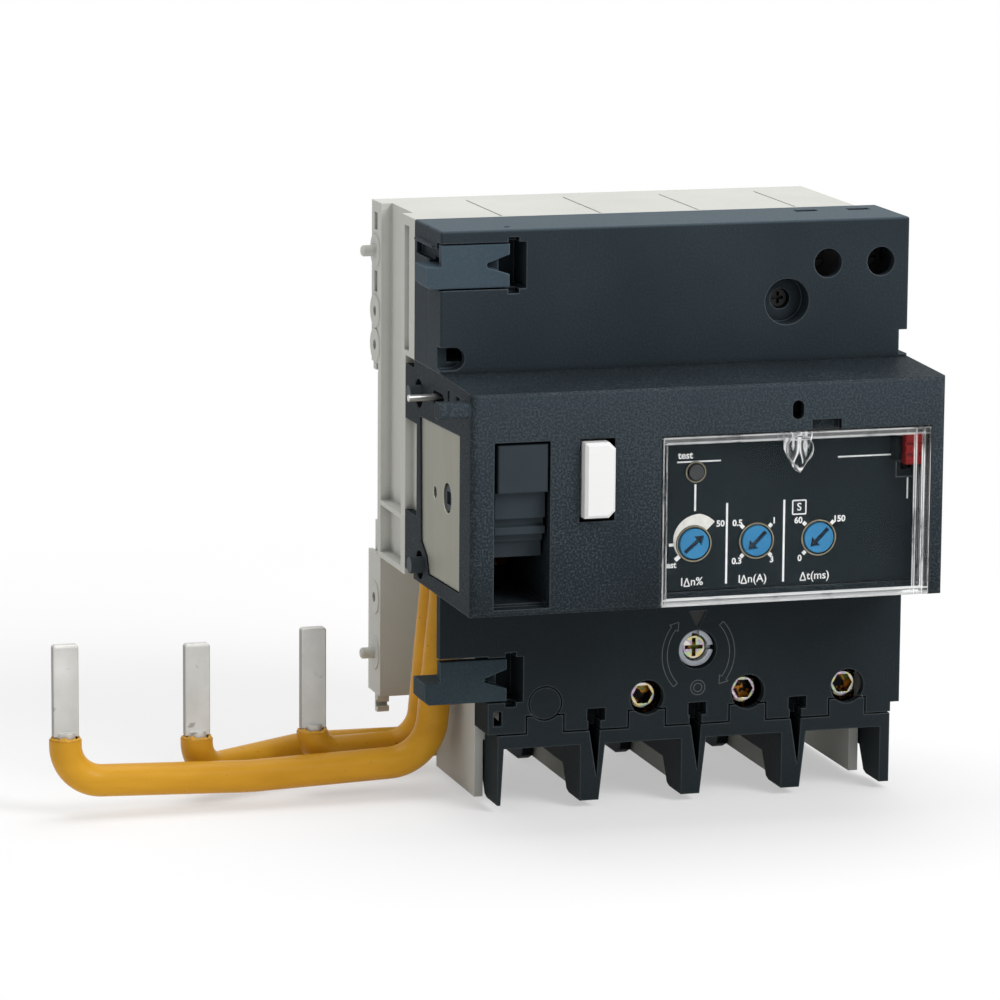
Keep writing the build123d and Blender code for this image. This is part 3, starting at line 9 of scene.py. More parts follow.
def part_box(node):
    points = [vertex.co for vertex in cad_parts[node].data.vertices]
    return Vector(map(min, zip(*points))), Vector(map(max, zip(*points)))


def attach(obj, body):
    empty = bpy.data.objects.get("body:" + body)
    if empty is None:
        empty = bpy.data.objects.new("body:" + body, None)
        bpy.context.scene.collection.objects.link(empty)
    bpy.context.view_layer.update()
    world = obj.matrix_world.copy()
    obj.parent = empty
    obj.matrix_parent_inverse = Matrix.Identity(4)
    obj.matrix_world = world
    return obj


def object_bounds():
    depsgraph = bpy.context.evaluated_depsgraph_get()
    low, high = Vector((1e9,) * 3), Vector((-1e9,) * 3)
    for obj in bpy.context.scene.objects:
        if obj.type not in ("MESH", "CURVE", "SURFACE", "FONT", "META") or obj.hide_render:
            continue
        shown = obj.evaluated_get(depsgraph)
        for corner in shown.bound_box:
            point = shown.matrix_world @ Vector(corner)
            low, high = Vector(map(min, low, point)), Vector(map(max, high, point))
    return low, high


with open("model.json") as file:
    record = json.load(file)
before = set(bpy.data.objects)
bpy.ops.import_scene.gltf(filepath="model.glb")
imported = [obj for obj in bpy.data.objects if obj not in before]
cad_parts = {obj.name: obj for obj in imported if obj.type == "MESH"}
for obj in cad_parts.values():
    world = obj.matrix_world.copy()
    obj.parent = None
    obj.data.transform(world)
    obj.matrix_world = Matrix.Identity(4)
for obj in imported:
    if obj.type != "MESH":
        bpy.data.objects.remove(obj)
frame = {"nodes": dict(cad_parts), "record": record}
cad_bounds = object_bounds()
nodes = frame["nodes"]
scene = bpy.context.scene
MM = 0.001
BLACK = (0.0, 0.0, 0.0)
WHITE = (1.0, 1.0, 1.0)

# ---------------------------------------------------------------------------
# Camera at the photograph's viewing angle: EYE in metres, LENS and SENSOR in mm
# ---------------------------------------------------------------------------
AZIMUTH = radians(16.60)
ELEVATION = radians(10.53)
ROLL = radians(0.407)
EYE = (-0.33358, -1.04230, 0.18993)
LENS = 189.72
SENSOR = 36.0
forward = Vector((sin(AZIMUTH) * cos(ELEVATION), cos(AZIMUTH) * cos(ELEVATION), -sin(ELEVATION)))
right_level = Vector((cos(AZIMUTH), -sin(AZIMUTH), 0.0))
up_level = right_level.cross(forward)
right = cos(ROLL) * right_level + sin(ROLL) * up_level
up = -sin(ROLL) * right_level + cos(ROLL) * up_level
camera_data = bpy.data.cameras.new("camera")
camera_data.lens = LENS
camera_data.sensor_width = SENSOR
camera_data.clip_start = 0.05
camera_data.clip_end = 20.0
camera = bpy.data.objects.new("camera", camera_data)
camera.matrix_world = Matrix((
    (right.x, up.x, -forward.x, EYE[0]),
    (right.y, up.y, -forward.y, EYE[1]),
    (right.z, up.z, -forward.z, EYE[2]),
    (0.0, 0.0, 0.0, 1.0),
))
scene.collection.objects.link(camera)
scene.camera = camera
scene.view_settings.view_transform = "Standard"


# ---------------------------------------------------------------------------
# Node helpers
# ---------------------------------------------------------------------------
def grey(level):
    return (level, level, level)


def add_node(tree, kind, inputs=None, **settings):
    """New node with its settings and the plain values of its inputs."""
    node = tree.nodes.new(kind)
    for key, value in settings.items():
        setattr(node, key, value)
    for key, value in (inputs or {}).items():
        node.inputs[key].default_value = value
    return node


class Tree:
    """A material's node tree with short calls for the nodes used here.

    A "value" below is a (node, output) pair. Lengths are in metres."""

    def __init__(self, name):
        self.material = bpy.data.materials.new(name)
        self.material.use_nodes = True
        self.tree = self.material.node_tree
        self.tree.nodes.clear()
        output = self.add("ShaderNodeOutputMaterial")
        self.shader = self.add("ShaderNodeBsdfPrincipled")
        self.link(self.shader, "BSDF", output, "Surface")
        self.place = None
        self.bevel = None

    def add(self, kind, inputs=None, **settings):
        return add_node(self.tree, kind, inputs, **settings)

    def link(self, source, out, target, into):
        self.tree.links.new(source.outputs[out], target.inputs[into])

    def coordinates(self, scale=(1.0, 1.0, 1.0)):
        """Object coordinates in metres, stretched by the scale."""
        if self.place is None:
            self.place = self.add("ShaderNodeTexCoord")
        if tuple(scale) == (1.0, 1.0, 1.0):
            return self.place, "Object"
        mapping = self.add("ShaderNodeMapping", {"Scale": scale})
        self.link(self.place, "Object", mapping, "Vector")
        return mapping, "Vector"

    def noise(self, scale, detail=3.0, roughness=0.5, stretch=(1.0, 1.0, 1.0)):
        node = self.add("ShaderNodeTexNoise", {"Scale": scale, "Detail": detail, "Roughness": roughness})
        source, out = self.coordinates(stretch)
        self.link(source, out, node, "Vector")
        return node

    def ramp(self, source, out, stops):
        """Colours along an output: pairs of position and colour, in rising order."""
        node = self.add("ShaderNodeValToRGB")
        ramp = node.color_ramp
        while len(ramp.elements) < len(stops):
            ramp.elements.new(0.5)
        for element, (position, colour) in zip(ramp.elements, stops):
            element.position = position
            element.color = (*colour, 1.0)
        self.link(source, out, node, "Fac")
        return node

    def mix(self, factor, first, second):
        """factor is a value or a number; first and second are values or colours. The result is output 2."""
        node = self.add("ShaderNodeMix", data_type="RGBA")
        for index, value in ((0, factor), (6, first), (7, second)):
            if isinstance(value, tuple) and hasattr(value[0], "outputs"):
                self.link(*value, node, index)
            else:
                node.inputs[index].default_value = value if index == 0 else (*value, 1.0)
        return node

    def spread(self, source, out, low, high, first, last):
        """Carry an output's span from low to high over to first to last."""
        ends = {"From Min": low, "From Max": high, "To Min": first, "To Max": last}
        node = self.add("ShaderNodeMapRange", ends)
        self.link(source, out, node, "Value")
        return node

    def colour(self, node, out="Color"):
        self.link(node, out, self.shader, "Base Color")

    def rough(self, source, out, low, high):
        self.link(self.spread(source, out, 0.0, 1.0, low, high), "Result", self.shader, "Roughness")

    def rounded(self, radius):
        """Normals that are rounded at the sharp edges."""
        if self.bevel is None:
            self.bevel = self.add("ShaderNodeBevel", {"Radius": radius}, samples=6)
        return self.bevel

    def edges(self, radius, strength=1.0):
        """High on the sharp edges of the mesh, 0 on its faces."""
        face = self.add("ShaderNodeNewGeometry")
        dot = self.add("ShaderNodeVectorMath", operation="DOT_PRODUCT")
        self.link(self.rounded(radius), "Normal", dot, 0)
        self.link(face, "True Normal", dot, 1)
        return self.spread(dot, "Value", 0.97, 0.72, 0.0, strength)

    def math(self, operation, first, second=None):
        """first and second are values or numbers."""
        node = self.add("ShaderNodeMath", operation=operation)
        for index, value in enumerate((first, second)):
            if isinstance(value, tuple):
                self.link(*value, node, index)
            elif value is not None:
                node.inputs[index].default_value = value
        return node, "Value"

    def part_of(self, out, name):
        """The X, Y or Z of one of the coordinate node's outputs."""
        source, _ = self.coordinates()
        split = self.add("ShaderNodeSeparateXYZ")
        self.link(source, out, split, "Vector")
        return split, name

    def axis(self, name):
        """One object coordinate, X, Y or Z, in metres."""
        return self.part_of("Object", name)

    def facing(self, name):
        """1 on faces square to an axis of the piece, 0 on faces along it."""
        return self.math("ABSOLUTE", self.part_of("Normal", name))

    def occlusion_mask(self, distance, strength):
        """Ambient occlusion, for painted shade: high in recesses, slots and gaps narrower than the distance, 0
        on open faces.
        """
        shade = self.add("ShaderNodeAmbientOcclusion", {"Distance": distance}, samples=4)
        return self.spread(shade, "AO", 0.72, 0.3, 0.0, strength)

    def steps(self, value, stops):
        """Grey levels along a value: pairs of value and level, in rising order."""
        low, high = stops[0][0], stops[-1][0]
        scaled = self.math("DIVIDE", self.math("SUBTRACT", value, low), high - low)
        return self.ramp(*scaled, [((at - low) / (high - low), grey(level)) for at, level in stops])

    def bump(self, layers, edge):
        """layers: (node, output, strength, distance); edge is the radius that rounds the sharp edges."""
        previous = self.rounded(edge)
        for source, out, strength, distance in layers:
            node = self.add("ShaderNodeBump", {"Strength": strength, "Distance": distance})
            self.link(source, out, node, "Height")
            self.link(previous, "Normal", node, "Normal")
            previous = node
        self.link(previous, "Normal", self.shader, "Normal")


def paler_by(light, times, added, most=1.0):
    """A lighter colour, for edges that are worn and carry a painted highlight, and for flecks and painted
    glints.
    """
    return tuple(min(most, times * c + added) for c in light)


def grained_plastic(name, dark, light, roughness=(0.45, 0.62), grain=0.6, speck=0.3, edge=0.0005,
                    specular=0.03, rim=1.0, painted_light=None, light_gain=1.5, side="Y", soil=0.85):
    """Spark-eroded moulded plastic: pebble grain, pale flecks in patches that double as painted glints, painted
    shade in recesses and gaps, and lighter edges that are worn and also carry a painted highlight.

    painted_light holds pairs of height in metres and level, for bands of painted light. At level 1 the faces
    square to the axis in side are light_gain times as pale, and show more glints."""
    t = Tree(name)
    cloud = t.noise(28.0, 4.0, 0.55)
    base = (t.ramp(cloud, "Fac", [(0.3, dark), (0.7, light)]), "Color")
    fine = t.noise(2300.0, 2.0, 0.6)
    specks_and_glints = t.ramp(fine, "Fac", [(0.47, BLACK), (0.70, WHITE)])
    patches = t.ramp(t.noise(60.0, 3.0, 0.6), "Fac", [(0.35, grey(0.45)), (0.65, WHITE)])
    amount = t.math("MULTIPLY", t.math("MULTIPLY", (specks_and_glints, "Color"), (patches, "Color")), speck)
    if painted_light is not None:
        # Painted light: faces square to the side axis turn lighter along the height bands, with more glints
        # there
        rise = t.math("MULTIPLY", (t.steps(t.axis("Z"), painted_light), "Color"), t.facing(side))
        painted_lit = t.mix(rise, base, tuple(light_gain * c for c in light))
        base = (painted_lit, 2)
        amount = t.math("MULTIPLY", amount, t.math("ADD", rise, 0.35))
    # Pale flecks in patches, which also stand as painted glints on the grain
    specked_and_glinting = t.mix(amount, base, paler_by(light, 2.3, 0.015))
    # Painted shade: recesses and gaps darkened towards a dark tone of the plastic
    occlusion_shaded = t.mix((t.occlusion_mask(0.003, soil), "Result"), (specked_and_glinting, 2), tuple(0.12 * c for c in dark))
    # Edges lighter for wear and as a painted highlight
    worn = t.mix((t.edges(edge, rim), "Result"), (occlusion_shaded, 2), paler_by(light, 2.6, 0.05))
    t.colour(worn, 2)
    pebble = t.noise(1500.0, 3.0, 0.55)
    t.rough(pebble, "Fac", *roughness)
    t.shader.inputs["Specular IOR Level"].default_value = specular
    t.bump([(pebble, "Fac", grain, 0.00012), (cloud, "Fac", 0.08, 0.0004)], edge)
    return t.material


def smooth_plastic(name, dark, light, roughness=(0.28, 0.4), specular=0.3, rim=0.25):
    """Moulded satin plastic with a slight unevenness, and lighter edges that are worn and carry a painted
    highlight.
    """
    t = Tree(name)
    edge = 0.0002
    wave = 0.12
    cloud = t.noise(60.0, 4.0, 0.55)
    base = t.ramp(cloud, "Fac", [(0.25, dark), (0.75, light)])
    # Edges lighter for wear and as a painted highlight
    worn = t.mix((t.edges(edge, rim), "Result"), (base, "Color"), paler_by(light, 2.0, 0.03, 0.95))
    t.colour(worn, 2)
    fine = t.noise(900.0, 3.0, 0.6)
    t.rough(fine, "Fac", *roughness)
    t.shader.inputs["Specular IOR Level"].default_value = specular
    t.bump([(fine, "Fac", wave, 0.00005), (cloud, "Fac", wave, 0.0003)], edge)
    return t.material


def metal(name, dark, light, roughness=(0.2, 0.45), stretch=(1.0, 1.0, 12.0), scale=500.0, bump=0.15,
          edge=0.00012, rim=0.0):
    """Metal with drawn lines, cloudy tarnish, and brighter edges that are worn and carry a painted highlight.
    """
    t = Tree(name)
    t.shader.inputs["Metallic"].default_value = 1.0
    lines = t.noise(scale, 5.0, 0.6, stretch)
    cloud = t.noise(120.0, 4.0, 0.6)
    drawn = t.ramp(lines, "Fac", [(0.25, dark), (0.7, light)])
    mixed = t.mix((cloud, "Fac"), (drawn, "Color"), light)
    # Edges brighter for wear and as a painted highlight
    worn = t.mix((t.edges(edge, rim), "Result"), (mixed, 2), paler_by(light, 2.4, 0.1, 0.95))
    t.colour(worn, 2)
    t.rough(cloud, "Fac", *roughness)
    t.bump([(lines, "Fac", bump, 0.00006)], edge)
    return t.material


def iridescent_zinc(name, head_front):
    """Yellow-passivated zinc: a bright ring, and in the recesses below the head's face mostly painted shade
    with patches of gold, green and purple tint.

    head_front is the depth of the head's front face, in metres before the rail seat."""
    t = Tree(name)
    t.shader.inputs["Metallic"].default_value = 1.0
    drift = t.noise(420.0, 2.0, 0.5)
    tint = t.ramp(drift, "Fac", [
        (0.36, (0.62, 0.62, 0.60)),
        (0.44, (0.66, 0.50, 0.20)),
        (0.50, (0.34, 0.50, 0.34)),
        (0.57, (0.42, 0.26, 0.44)),
        (0.66, (0.66, 0.62, 0.56)),
    ])
    socket_shade = t.ramp(drift, "Fac", [
        (0.42, (0.006, 0.006, 0.007)),
        (0.50, (0.015, 0.012, 0.008)),
        (0.55, (0.34, 0.13, 0.02)),
        (0.62, (0.10, 0.12, 0.03)),
    ])
    # Below the head's front face: painted shade with patches of tint
    sunk = t.steps(t.axis("Y"), [(-head_front + 0.00001, 0.0), (-head_front + 0.0005, 1.0)])
    t.colour(t.mix((sunk, "Color"), (tint, "Color"), (socket_shade, "Color")), 2)
    fine = t.noise(1500.0, 3.0, 0.6)
    t.rough(fine, "Fac", 0.16, 0.38)
    t.bump([(fine, "Fac", 0.12, 0.00005)], 0.0001)
    return t.material


def tinned_copper(name):
    """Dull grey-white tin with bright edges that are worn and carry a painted highlight, small dark marks, and
    painted shade that darkens the faces square to X.
    """
    t = Tree(name)
    t.shader.inputs["Metallic"].default_value = 0.35
    cloud = t.noise(110.0, 5.0, 0.6)
    base = t.ramp(cloud, "Fac", [(0.25, (0.55, 0.545, 0.52)), (0.65, (0.72, 0.715, 0.685))])
    film = t.ramp(t.noise(60.0, 2.0, 0.5, (1.0, 1.0, 0.4)), "Fac", [(0.40, BLACK), (0.62, WHITE)])
    dulled = t.mix(t.math("MULTIPLY", (film, "Color"), 0.45), (base, "Color"), (0.36, 0.35, 0.32))
    marks = t.noise(520.0, 2.0, 0.5, (0.5, 1.0, 0.8))
    scratch = t.ramp(marks, "Fac", [(0.67, BLACK), (0.75, WHITE)])
    mixed = t.mix(t.math("MULTIPLY", (scratch, "Color"), 0.6), (dulled, 2), (0.16, 0.155, 0.15))
    # Painted shade: faces square to X darkened
    side_shade = t.math("MULTIPLY", t.math("POWER", t.facing("X"), 6.0), 0.75)
    sided = t.mix(side_shade, (mixed, 2), (0.12, 0.115, 0.10))
    # Edges brighter for wear and as a painted highlight
    worn = t.mix((t.edges(0.0003, 0.8), "Result"), (sided, 2), (0.88, 0.88, 0.86))
    t.colour(worn, 2)
    t.rough(cloud, "Fac", 0.38, 0.55)
    t.bump([(cloud, "Fac", 0.25, 0.0002), (marks, "Fac", 0.15, 0.0001)], 0.0002)
    return t.material


def cable_sheath(name, dark, light):
    """Soft ochre insulation, glossy, with long faint streaks and small flecks."""
    t = Tree(name)
    streak = t.noise(90.0, 4.0, 0.55, (0.25, 1.0, 1.0))
    base = t.ramp(streak, "Fac", [(0.3, dark), (0.7, light)])
    fleck = t.noise(900.0, 2.0, 0.5)
    spots = t.ramp(fleck, "Fac", [(0.72, BLACK), (0.77, WHITE)])
    t.colour(t.mix((spots, "Color"), (base, "Color"), (0.26, 0.10, 0.01)), 2)
    ripple = t.noise(150.0, 3.0, 0.5)
    t.rough(ripple, "Fac", 0.34, 0.46)
    t.shader.inputs["Specular IOR Level"].default_value = 0.12
    t.shader.inputs["Coat Weight"].default_value = 0.06
    t.shader.inputs["Coat Roughness"].default_value = 0.25
    t.bump([(ripple, "Fac", 0.25, 0.0003)], 0.0002)
    return t.material


def clear_plastic(name, low, high, pin, tab_middle, tab_low):
    """Clear moulded lid between two corners: polished faces, with painted highlights: bright lines along its
    borders and wall edges, glints on the tab's facets and a glow on its sharp corners.

    pin is the length of the pivots beyond the lid's sides. The tab hangs from the top at tab_middle down to
    tab_low. All in metres."""
    t = Tree(name)
    t.shader.inputs["Base Color"].default_value = (0.96, 0.97, 0.97, 1.0)
    t.shader.inputs["IOR"].default_value = 1.1
    t.shader.inputs["Specular IOR Level"].default_value = 0.12
    across, up = t.axis("X"), t.axis("Z")
    left = t.math("SUBTRACT", across, low.x + pin)
    right = t.math("SUBTRACT", high.x - pin, across)
    foot = t.math("SUBTRACT", up, low.z)
    head = t.math("SUBTRACT", high.z, up)
    front_face = t.facing("Y")
    # Painted highlights: bright lines along the lid's borders and through its wall depth
    lines = None
    for border, stops in (
        (left, [(-0.002, 0.0), (0.0, 0.75), (0.0002, 0.6), (0.0003, 0.0)]),
        (right, [(0.0, 0.55), (0.0002, 0.5), (0.0003, 0.03), (0.0013, 0.03), (0.0014, 0.75), (0.0016, 0.7),
                 (0.0017, 0.0)]),
        (right, [(0.0030, 0.0), (0.0031, 0.6), (0.0033, 0.55), (0.0034, 0.0)]),
        (head, [(0.0, 0.7), (0.0002, 0.65), (0.0003, 0.12), (0.0011, 0.12), (0.0012, 0.45), (0.0014, 0.4),
                (0.0015, 0.0)]),
        (foot, [(0.0, 0.35), (0.0002, 0.45), (0.0008, 0.22), (0.0009, 0.03), (0.0012, 0.03), (0.0013, 0.7),
                (0.0015, 0.6), (0.0016, 0.0)]),
    ):
        band = (t.steps(border, stops), "Color")
        lines = band if lines is None else t.math("MAXIMUM", lines, band)
    depth_lines = t.steps(t.axis("Y"), [(low.y, 0.7), (low.y + 0.0003, 0.6), (low.y + 0.0004, 0.04),
                                        (high.y - 0.0005, 0.04), (high.y - 0.0004, 0.5), (high.y, 0.55)])
    on_front = t.math("MULTIPLY", lines, front_face)
    on_walls = t.math("MULTIPLY", (depth_lines, "Color"), t.math("SUBTRACT", 1.0, front_face))
    streaks = t.ramp(t.noise(110.0, 3.0, 0.6), "Fac", [(0.34, grey(0.2)), (0.5, WHITE)])
    walls = t.math("MULTIPLY", t.math("MAXIMUM", on_front, on_walls), (streaks, "Color"))
    # The tab narrows towards its tip, and its facets get painted highlights in thin strips
    aside = t.math("ABSOLUTE", t.math("SUBTRACT", across, tab_middle))
    half_width = 0.0029
    width = t.steps(up, [(tab_low, 0.05), (tab_low + 0.0015, 0.45), (tab_low + 0.0045, 0.95), (high.z, 1.0)])
    reach = t.math("MULTIPLY", (width, "Color"), half_width)
    inside = t.math("MULTIPLY", t.math("LESS_THAN", aside, reach), t.math("GREATER_THAN", up, tab_low))
    facets = t.noise(330.0, 1.0, 0.5, (1.0, 1.0, 0.35))
    sliver_highlights = t.ramp(facets, "Fac", [
        (0.44, BLACK),
        (0.47, grey(0.85)),
        (0.52, grey(0.15)),
        (0.58, BLACK),
        (0.61, grey(0.75)),
        (0.66, grey(0.05)),
    ])
    tab = t.math("MULTIPLY", inside, (sliver_highlights, "Color"))
    # Painted highlight along the lid's sharp edges
    corners = t.math("MULTIPLY", (t.edges(0.00025), "Result"), 0.45)
    bright = t.math("MAXIMUM", t.math("MAXIMUM", walls, tab), corners)
    # Where the painted highlights lie, the lid turns white instead of clear
    t.link(*t.math("SUBTRACT", 1.0, bright), t.shader, "Transmission Weight")
    t.rough(*bright, 0.0, 0.35)
    return t.material


def ink(name, dark, light):
    """Printed ink, slightly worn."""
    t = Tree(name)
    wear = t.noise(700.0, 4.0, 0.6)
    t.colour(t.ramp(wear, "Fac", [(0.3, dark), (0.6, light)]))
    t.rough(wear, "Fac", 0.5, 0.7)
    return t.material


# ---------------------------------------------------------------------------
# Materials
# ---------------------------------------------------------------------------
# Each slot of the record: its maker, the maker's values, and what differs from the maker's own settings.
# The slot of the dark covers isn't here, because each of them has its own lighter or darker copy below, for
# painted light and shade
SCREW_FRONT = -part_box("terminal_screw_1")[0].y
LID_PIN = 0.0013
TAB_MIDDLE = 0.018
TAB_LOW = 0.0043
FINISHES = {
    "panel_anthracite": (grained_plastic, (0.0140, 0.0200, 0.0235), (0.0195, 0.0270, 0.0305),
                         dict(grain=0.3, speck=0.1, rim=0.1)),
    "clip_anthracite": (grained_plastic, (0.045, 0.068, 0.087), (0.058, 0.084, 0.105),
                        dict(grain=0.25, speck=0.12, rim=0.6)),
    "handle_black": (smooth_plastic, (0.028, 0.037, 0.044), (0.038, 0.050, 0.059),
                     dict(roughness=(0.35, 0.5), specular=0.05, rim=0.6)),
    "button_black": (smooth_plastic, (0.045, 0.047, 0.050), (0.06, 0.062, 0.065), dict(roughness=(0.4, 0.55))),
    "base_grey": (grained_plastic, (0.535, 0.54, 0.50), (0.60, 0.605, 0.565),
                  dict(roughness=(0.5, 0.65), grain=0.3, speck=0.05, edge=0.0003, specular=0.15, rim=0.5,
                       soil=0.5)),
    "lever_white": (smooth_plastic, (0.80, 0.80, 0.79), (0.86, 0.86, 0.85), dict(roughness=(0.3, 0.42))),
    "dial_blue": (smooth_plastic, (0.030, 0.185, 0.385), (0.045, 0.24, 0.46),
                  dict(roughness=(0.3, 0.45), specular=0.2)),
    "slider_red": (smooth_plastic, (0.17, 0.004, 0.005), (0.24, 0.008, 0.010),
                   dict(roughness=(0.35, 0.5), specular=0.2)),
    "lock_grey": (smooth_plastic, (0.52, 0.56, 0.62), (0.62, 0.66, 0.72), dict(roughness=(0.3, 0.42), rim=0.8)),
    "lid_clear": (clear_plastic, *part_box("clear_lid"),
                  dict(pin=LID_PIN, tab_middle=TAB_MIDDLE, tab_low=TAB_LOW)),
    "steel": (metal, (0.40, 0.40, 0.39), (0.62, 0.62, 0.61), {}),
    "dark_steel": (metal, (0.016, 0.016, 0.017), (0.035, 0.035, 0.036), dict(roughness=(0.4, 0.6))),
    "plate_metal": (metal, (0.215, 0.215, 0.175), (0.275, 0.275, 0.23),
                    dict(roughness=(0.45, 0.6), stretch=(1.0, 1.0, 0.1), scale=300.0, bump=0.08, edge=0.0003,
                         rim=1.0)),
    "zinc": (iridescent_zinc, SCREW_FRONT, {}),
    "tin": (tinned_copper, {}),
    "copper": (metal, (0.55, 0.25, 0.13), (0.72, 0.38, 0.22), {}),
    "insulation_ochre": (cable_sheath, (0.50, 0.235, 0.012), (0.69, 0.355, 0.026), {}),
    "core": (smooth_plastic, (0.10, 0.10, 0.11), (0.16, 0.16, 0.17), dict(roughness=(0.5, 0.7))),
    "winding": (metal, (0.30, 0.10, 0.04), (0.50, 0.20, 0.08),
                dict(roughness=(0.25, 0.4), stretch=(14.0, 1.0, 1.0), scale=300.0, bump=0.6)),
    "board_green": (smooth_plastic, (0.012, 0.11, 0.045), (0.02, 0.15, 0.06), dict(roughness=(0.3, 0.45))),
    "component_dark": (smooth_plastic, (0.018, 0.018, 0.02), (0.035, 0.035, 0.038),
                       dict(roughness=(0.4, 0.55))),
}
materials = {slot: maker(slot, *values, **style) for slot, (maker, *values, style) in FINISHES.items()}
WHITE_INK = ink("white_ink", (0.76, 0.76, 0.75), (0.92, 0.92, 0.91))
IVORY_INK = ink("ivory_ink", (0.70, 0.685, 0.64), (0.82, 0.805, 0.76))
BLACK_INK = ink("black_ink", (0.004, 0.004, 0.005), (0.008, 0.008, 0.009))
# Near-black for the floor of the dials' arrow slots: painted shade
ARROW_SHADE = ink("arrow_shade", (0.004, 0.012, 0.022), (0.007, 0.020, 0.034))
OUTLINE_INK = ink("outline_ink", (0.060, 0.068, 0.072), (0.095, 0.103, 0.107))
BRONZE_RIM = ink("bronze_rim", (0.20, 0.17, 0.11), (0.30, 0.26, 0.18))

# Pieces whose surface differs from the rest of their slot: the dark covers, lighter and darker copies of one
# plastic set by how light falls on each, which is painted light and shade; the nose's front faces grow lighter
# from bottom to top and the upper cover's top face is lighter, painted light with more glints in it; and the
# lock screw, whose painted shade in its socket starts at its own head
NOSE_LOW, NOSE_HIGH = (corner.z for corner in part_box("nose_cover"))
NOSE_LIGHT_BANDS = [(NOSE_LOW, 0.0), (NOSE_HIGH - 0.012, 0.75), (NOSE_HIGH, 1.0)]
NOSE = grained_plastic("nose_anthracite", (0.0112, 0.0157, 0.0190), (0.0158, 0.0216, 0.0260), speck=2.4,
                       painted_light=NOSE_LIGHT_BANDS, light_gain=2.0)
UPPER_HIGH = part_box("upper_cover")[1].z
UPPER_LIGHT_BANDS = [(UPPER_HIGH - 0.0010, 0.0), (UPPER_HIGH - 0.0005, 1.0)]
UPPER = grained_plastic("upper_anthracite", (0.0218, 0.0305, 0.0373), (0.0300, 0.0407, 0.0488), speck=0.4,
                        painted_light=UPPER_LIGHT_BANDS, light_gain=2.2, side="Z")
# Darker copy for the lower cover, shroud, plug and feet, which sit in the nose's shadow: painted shade
SHADED = grained_plastic("shaded_anthracite", (0.0150, 0.0200, 0.0230), (0.0200, 0.0265, 0.0300), speck=0.1)
OWN_FINISH = {
    "upper_cover": UPPER,
    "nose_cover": NOSE,
    "lower_cover": SHADED,
    "terminal_shroud": SHADED,
    "blank_plug": SHADED,
    "rear_feet": SHADED,
    "side_frame": smooth_plastic("frame_anthracite", (0.045, 0.056, 0.060), (0.060, 0.074, 0.079),
                                 roughness=(0.35, 0.5), specular=0.05, rim=0.6),
    "lower_clip": grained_plastic("lower_clip_anthracite", (0.024, 0.037, 0.045), (0.038, 0.056, 0.066),
                                  grain=0.25, speck=0.12, rim=0.6),
    "lock_screw": iridescent_zinc("lock_zinc", -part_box("lock_screw")[0].y),
}

for entry in frame["record"]["subparts"]:
    name = entry["node"]
    slots = nodes[name].data.materials
    slots.clear()
    slots.append(OWN_FINISH[name] if name in OWN_FINISH else materials[entry["material_slot"]])


# ---------------------------------------------------------------------------
# Mesh helpers. All measures are in mm, and a "depth" is a distance in front of
# the rail seat. PRINT and RAISED are the thicknesses of ink and of raised lines
# ---------------------------------------------------------------------------
PRINT = 0.03
RAISED = 0.04


def make(name, verts, faces, material, body, smooth=False):
    """New piece from vertices in metres, riding a body."""
    mesh = bpy.data.meshes.new(name)
    mesh.from_pydata([tuple(v) for v in verts], [], faces)
    mesh.update()
    obj = bpy.data.objects.new(name, mesh)
    scene.collection.objects.link(obj)
    mesh.materials.append(material)
    if smooth:
        for polygon in mesh.polygons:
            polygon.use_smooth = True
    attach(obj, body)
    return obj


def print_strip(name, inner, outer, depth, material, body, closed=False, thick=PRINT):
    """Thin printed or raised strip between two lines of (X, Z) points at a depth."""
    count = len(inner)
    verts = []
    for level in (depth, depth + thick):
        for line in (inner, outer):
            verts += [(x * MM, -level * MM, z * MM) for x, z in line]
    faces = []
    steps = count if closed else count - 1
    for i in range(steps):
        j = (i + 1) % count
        a, b, c, d = i, j, count + j, count + i
        faces.append((a + 2 * count, b + 2 * count, c + 2 * count, d + 2 * count))
        faces.append((b, a, d, c))
        faces.append((a, b, b + 2 * count, a + 2 * count))
        faces.append((c, d, d + 2 * count, c + 2 * count))
    if not closed:
        last = count - 1
        faces.append((0, 2 * count, 3 * count, count))
        faces.append((last, count + last, 3 * count + last, 2 * count + last))
    obj = make(name, verts, faces, material, body)
    bm = bmesh.new()
    bm.from_mesh(obj.data)
    bmesh.ops.recalc_face_normals(bm, faces=bm.faces)
    bm.to_mesh(obj.data)
    bm.free()


def bar(name, x0, z0, x1, z1, width, depth, material, body, thick=PRINT):
    """Straight printed line from one point to another."""
    dx, dz = x1 - x0, z1 - z0
    length = (dx * dx + dz * dz) ** 0.5
    nx, nz = -dz / length * width / 2, dx / length * width / 2
    steps = 6
    line = [(x0 + dx * i / steps, z0 + dz * i / steps) for i in range(steps + 1)]
    one_side = [(x - nx, z - nz) for x, z in line]
    other_side = [(x + nx, z + nz) for x, z in line]
    print_strip(name, one_side, other_side, depth, material, body, False, thick)


def ring(name, x, z, inner, outer, depth, material, body, thick=PRINT, start=0.0, end=360.0, steps=64):
    """Printed ring or arc about a centre."""
    closed = end - start >= 360.0
    count = steps if closed else steps + 1
    angles = [radians(start + (end - start) * i / steps) for i in range(count)]
    inner_line = [(x + inner * cos(a), z + inner * sin(a)) for a in angles]
    outer_line = [(x + outer * cos(a), z + outer * sin(a)) for a in angles]
    print_strip(name, inner_line, outer_line, depth, material, body, closed, thick)


# A capital's height in the typeface, as a part of its size
CAPITAL_HEIGHT = 0.72


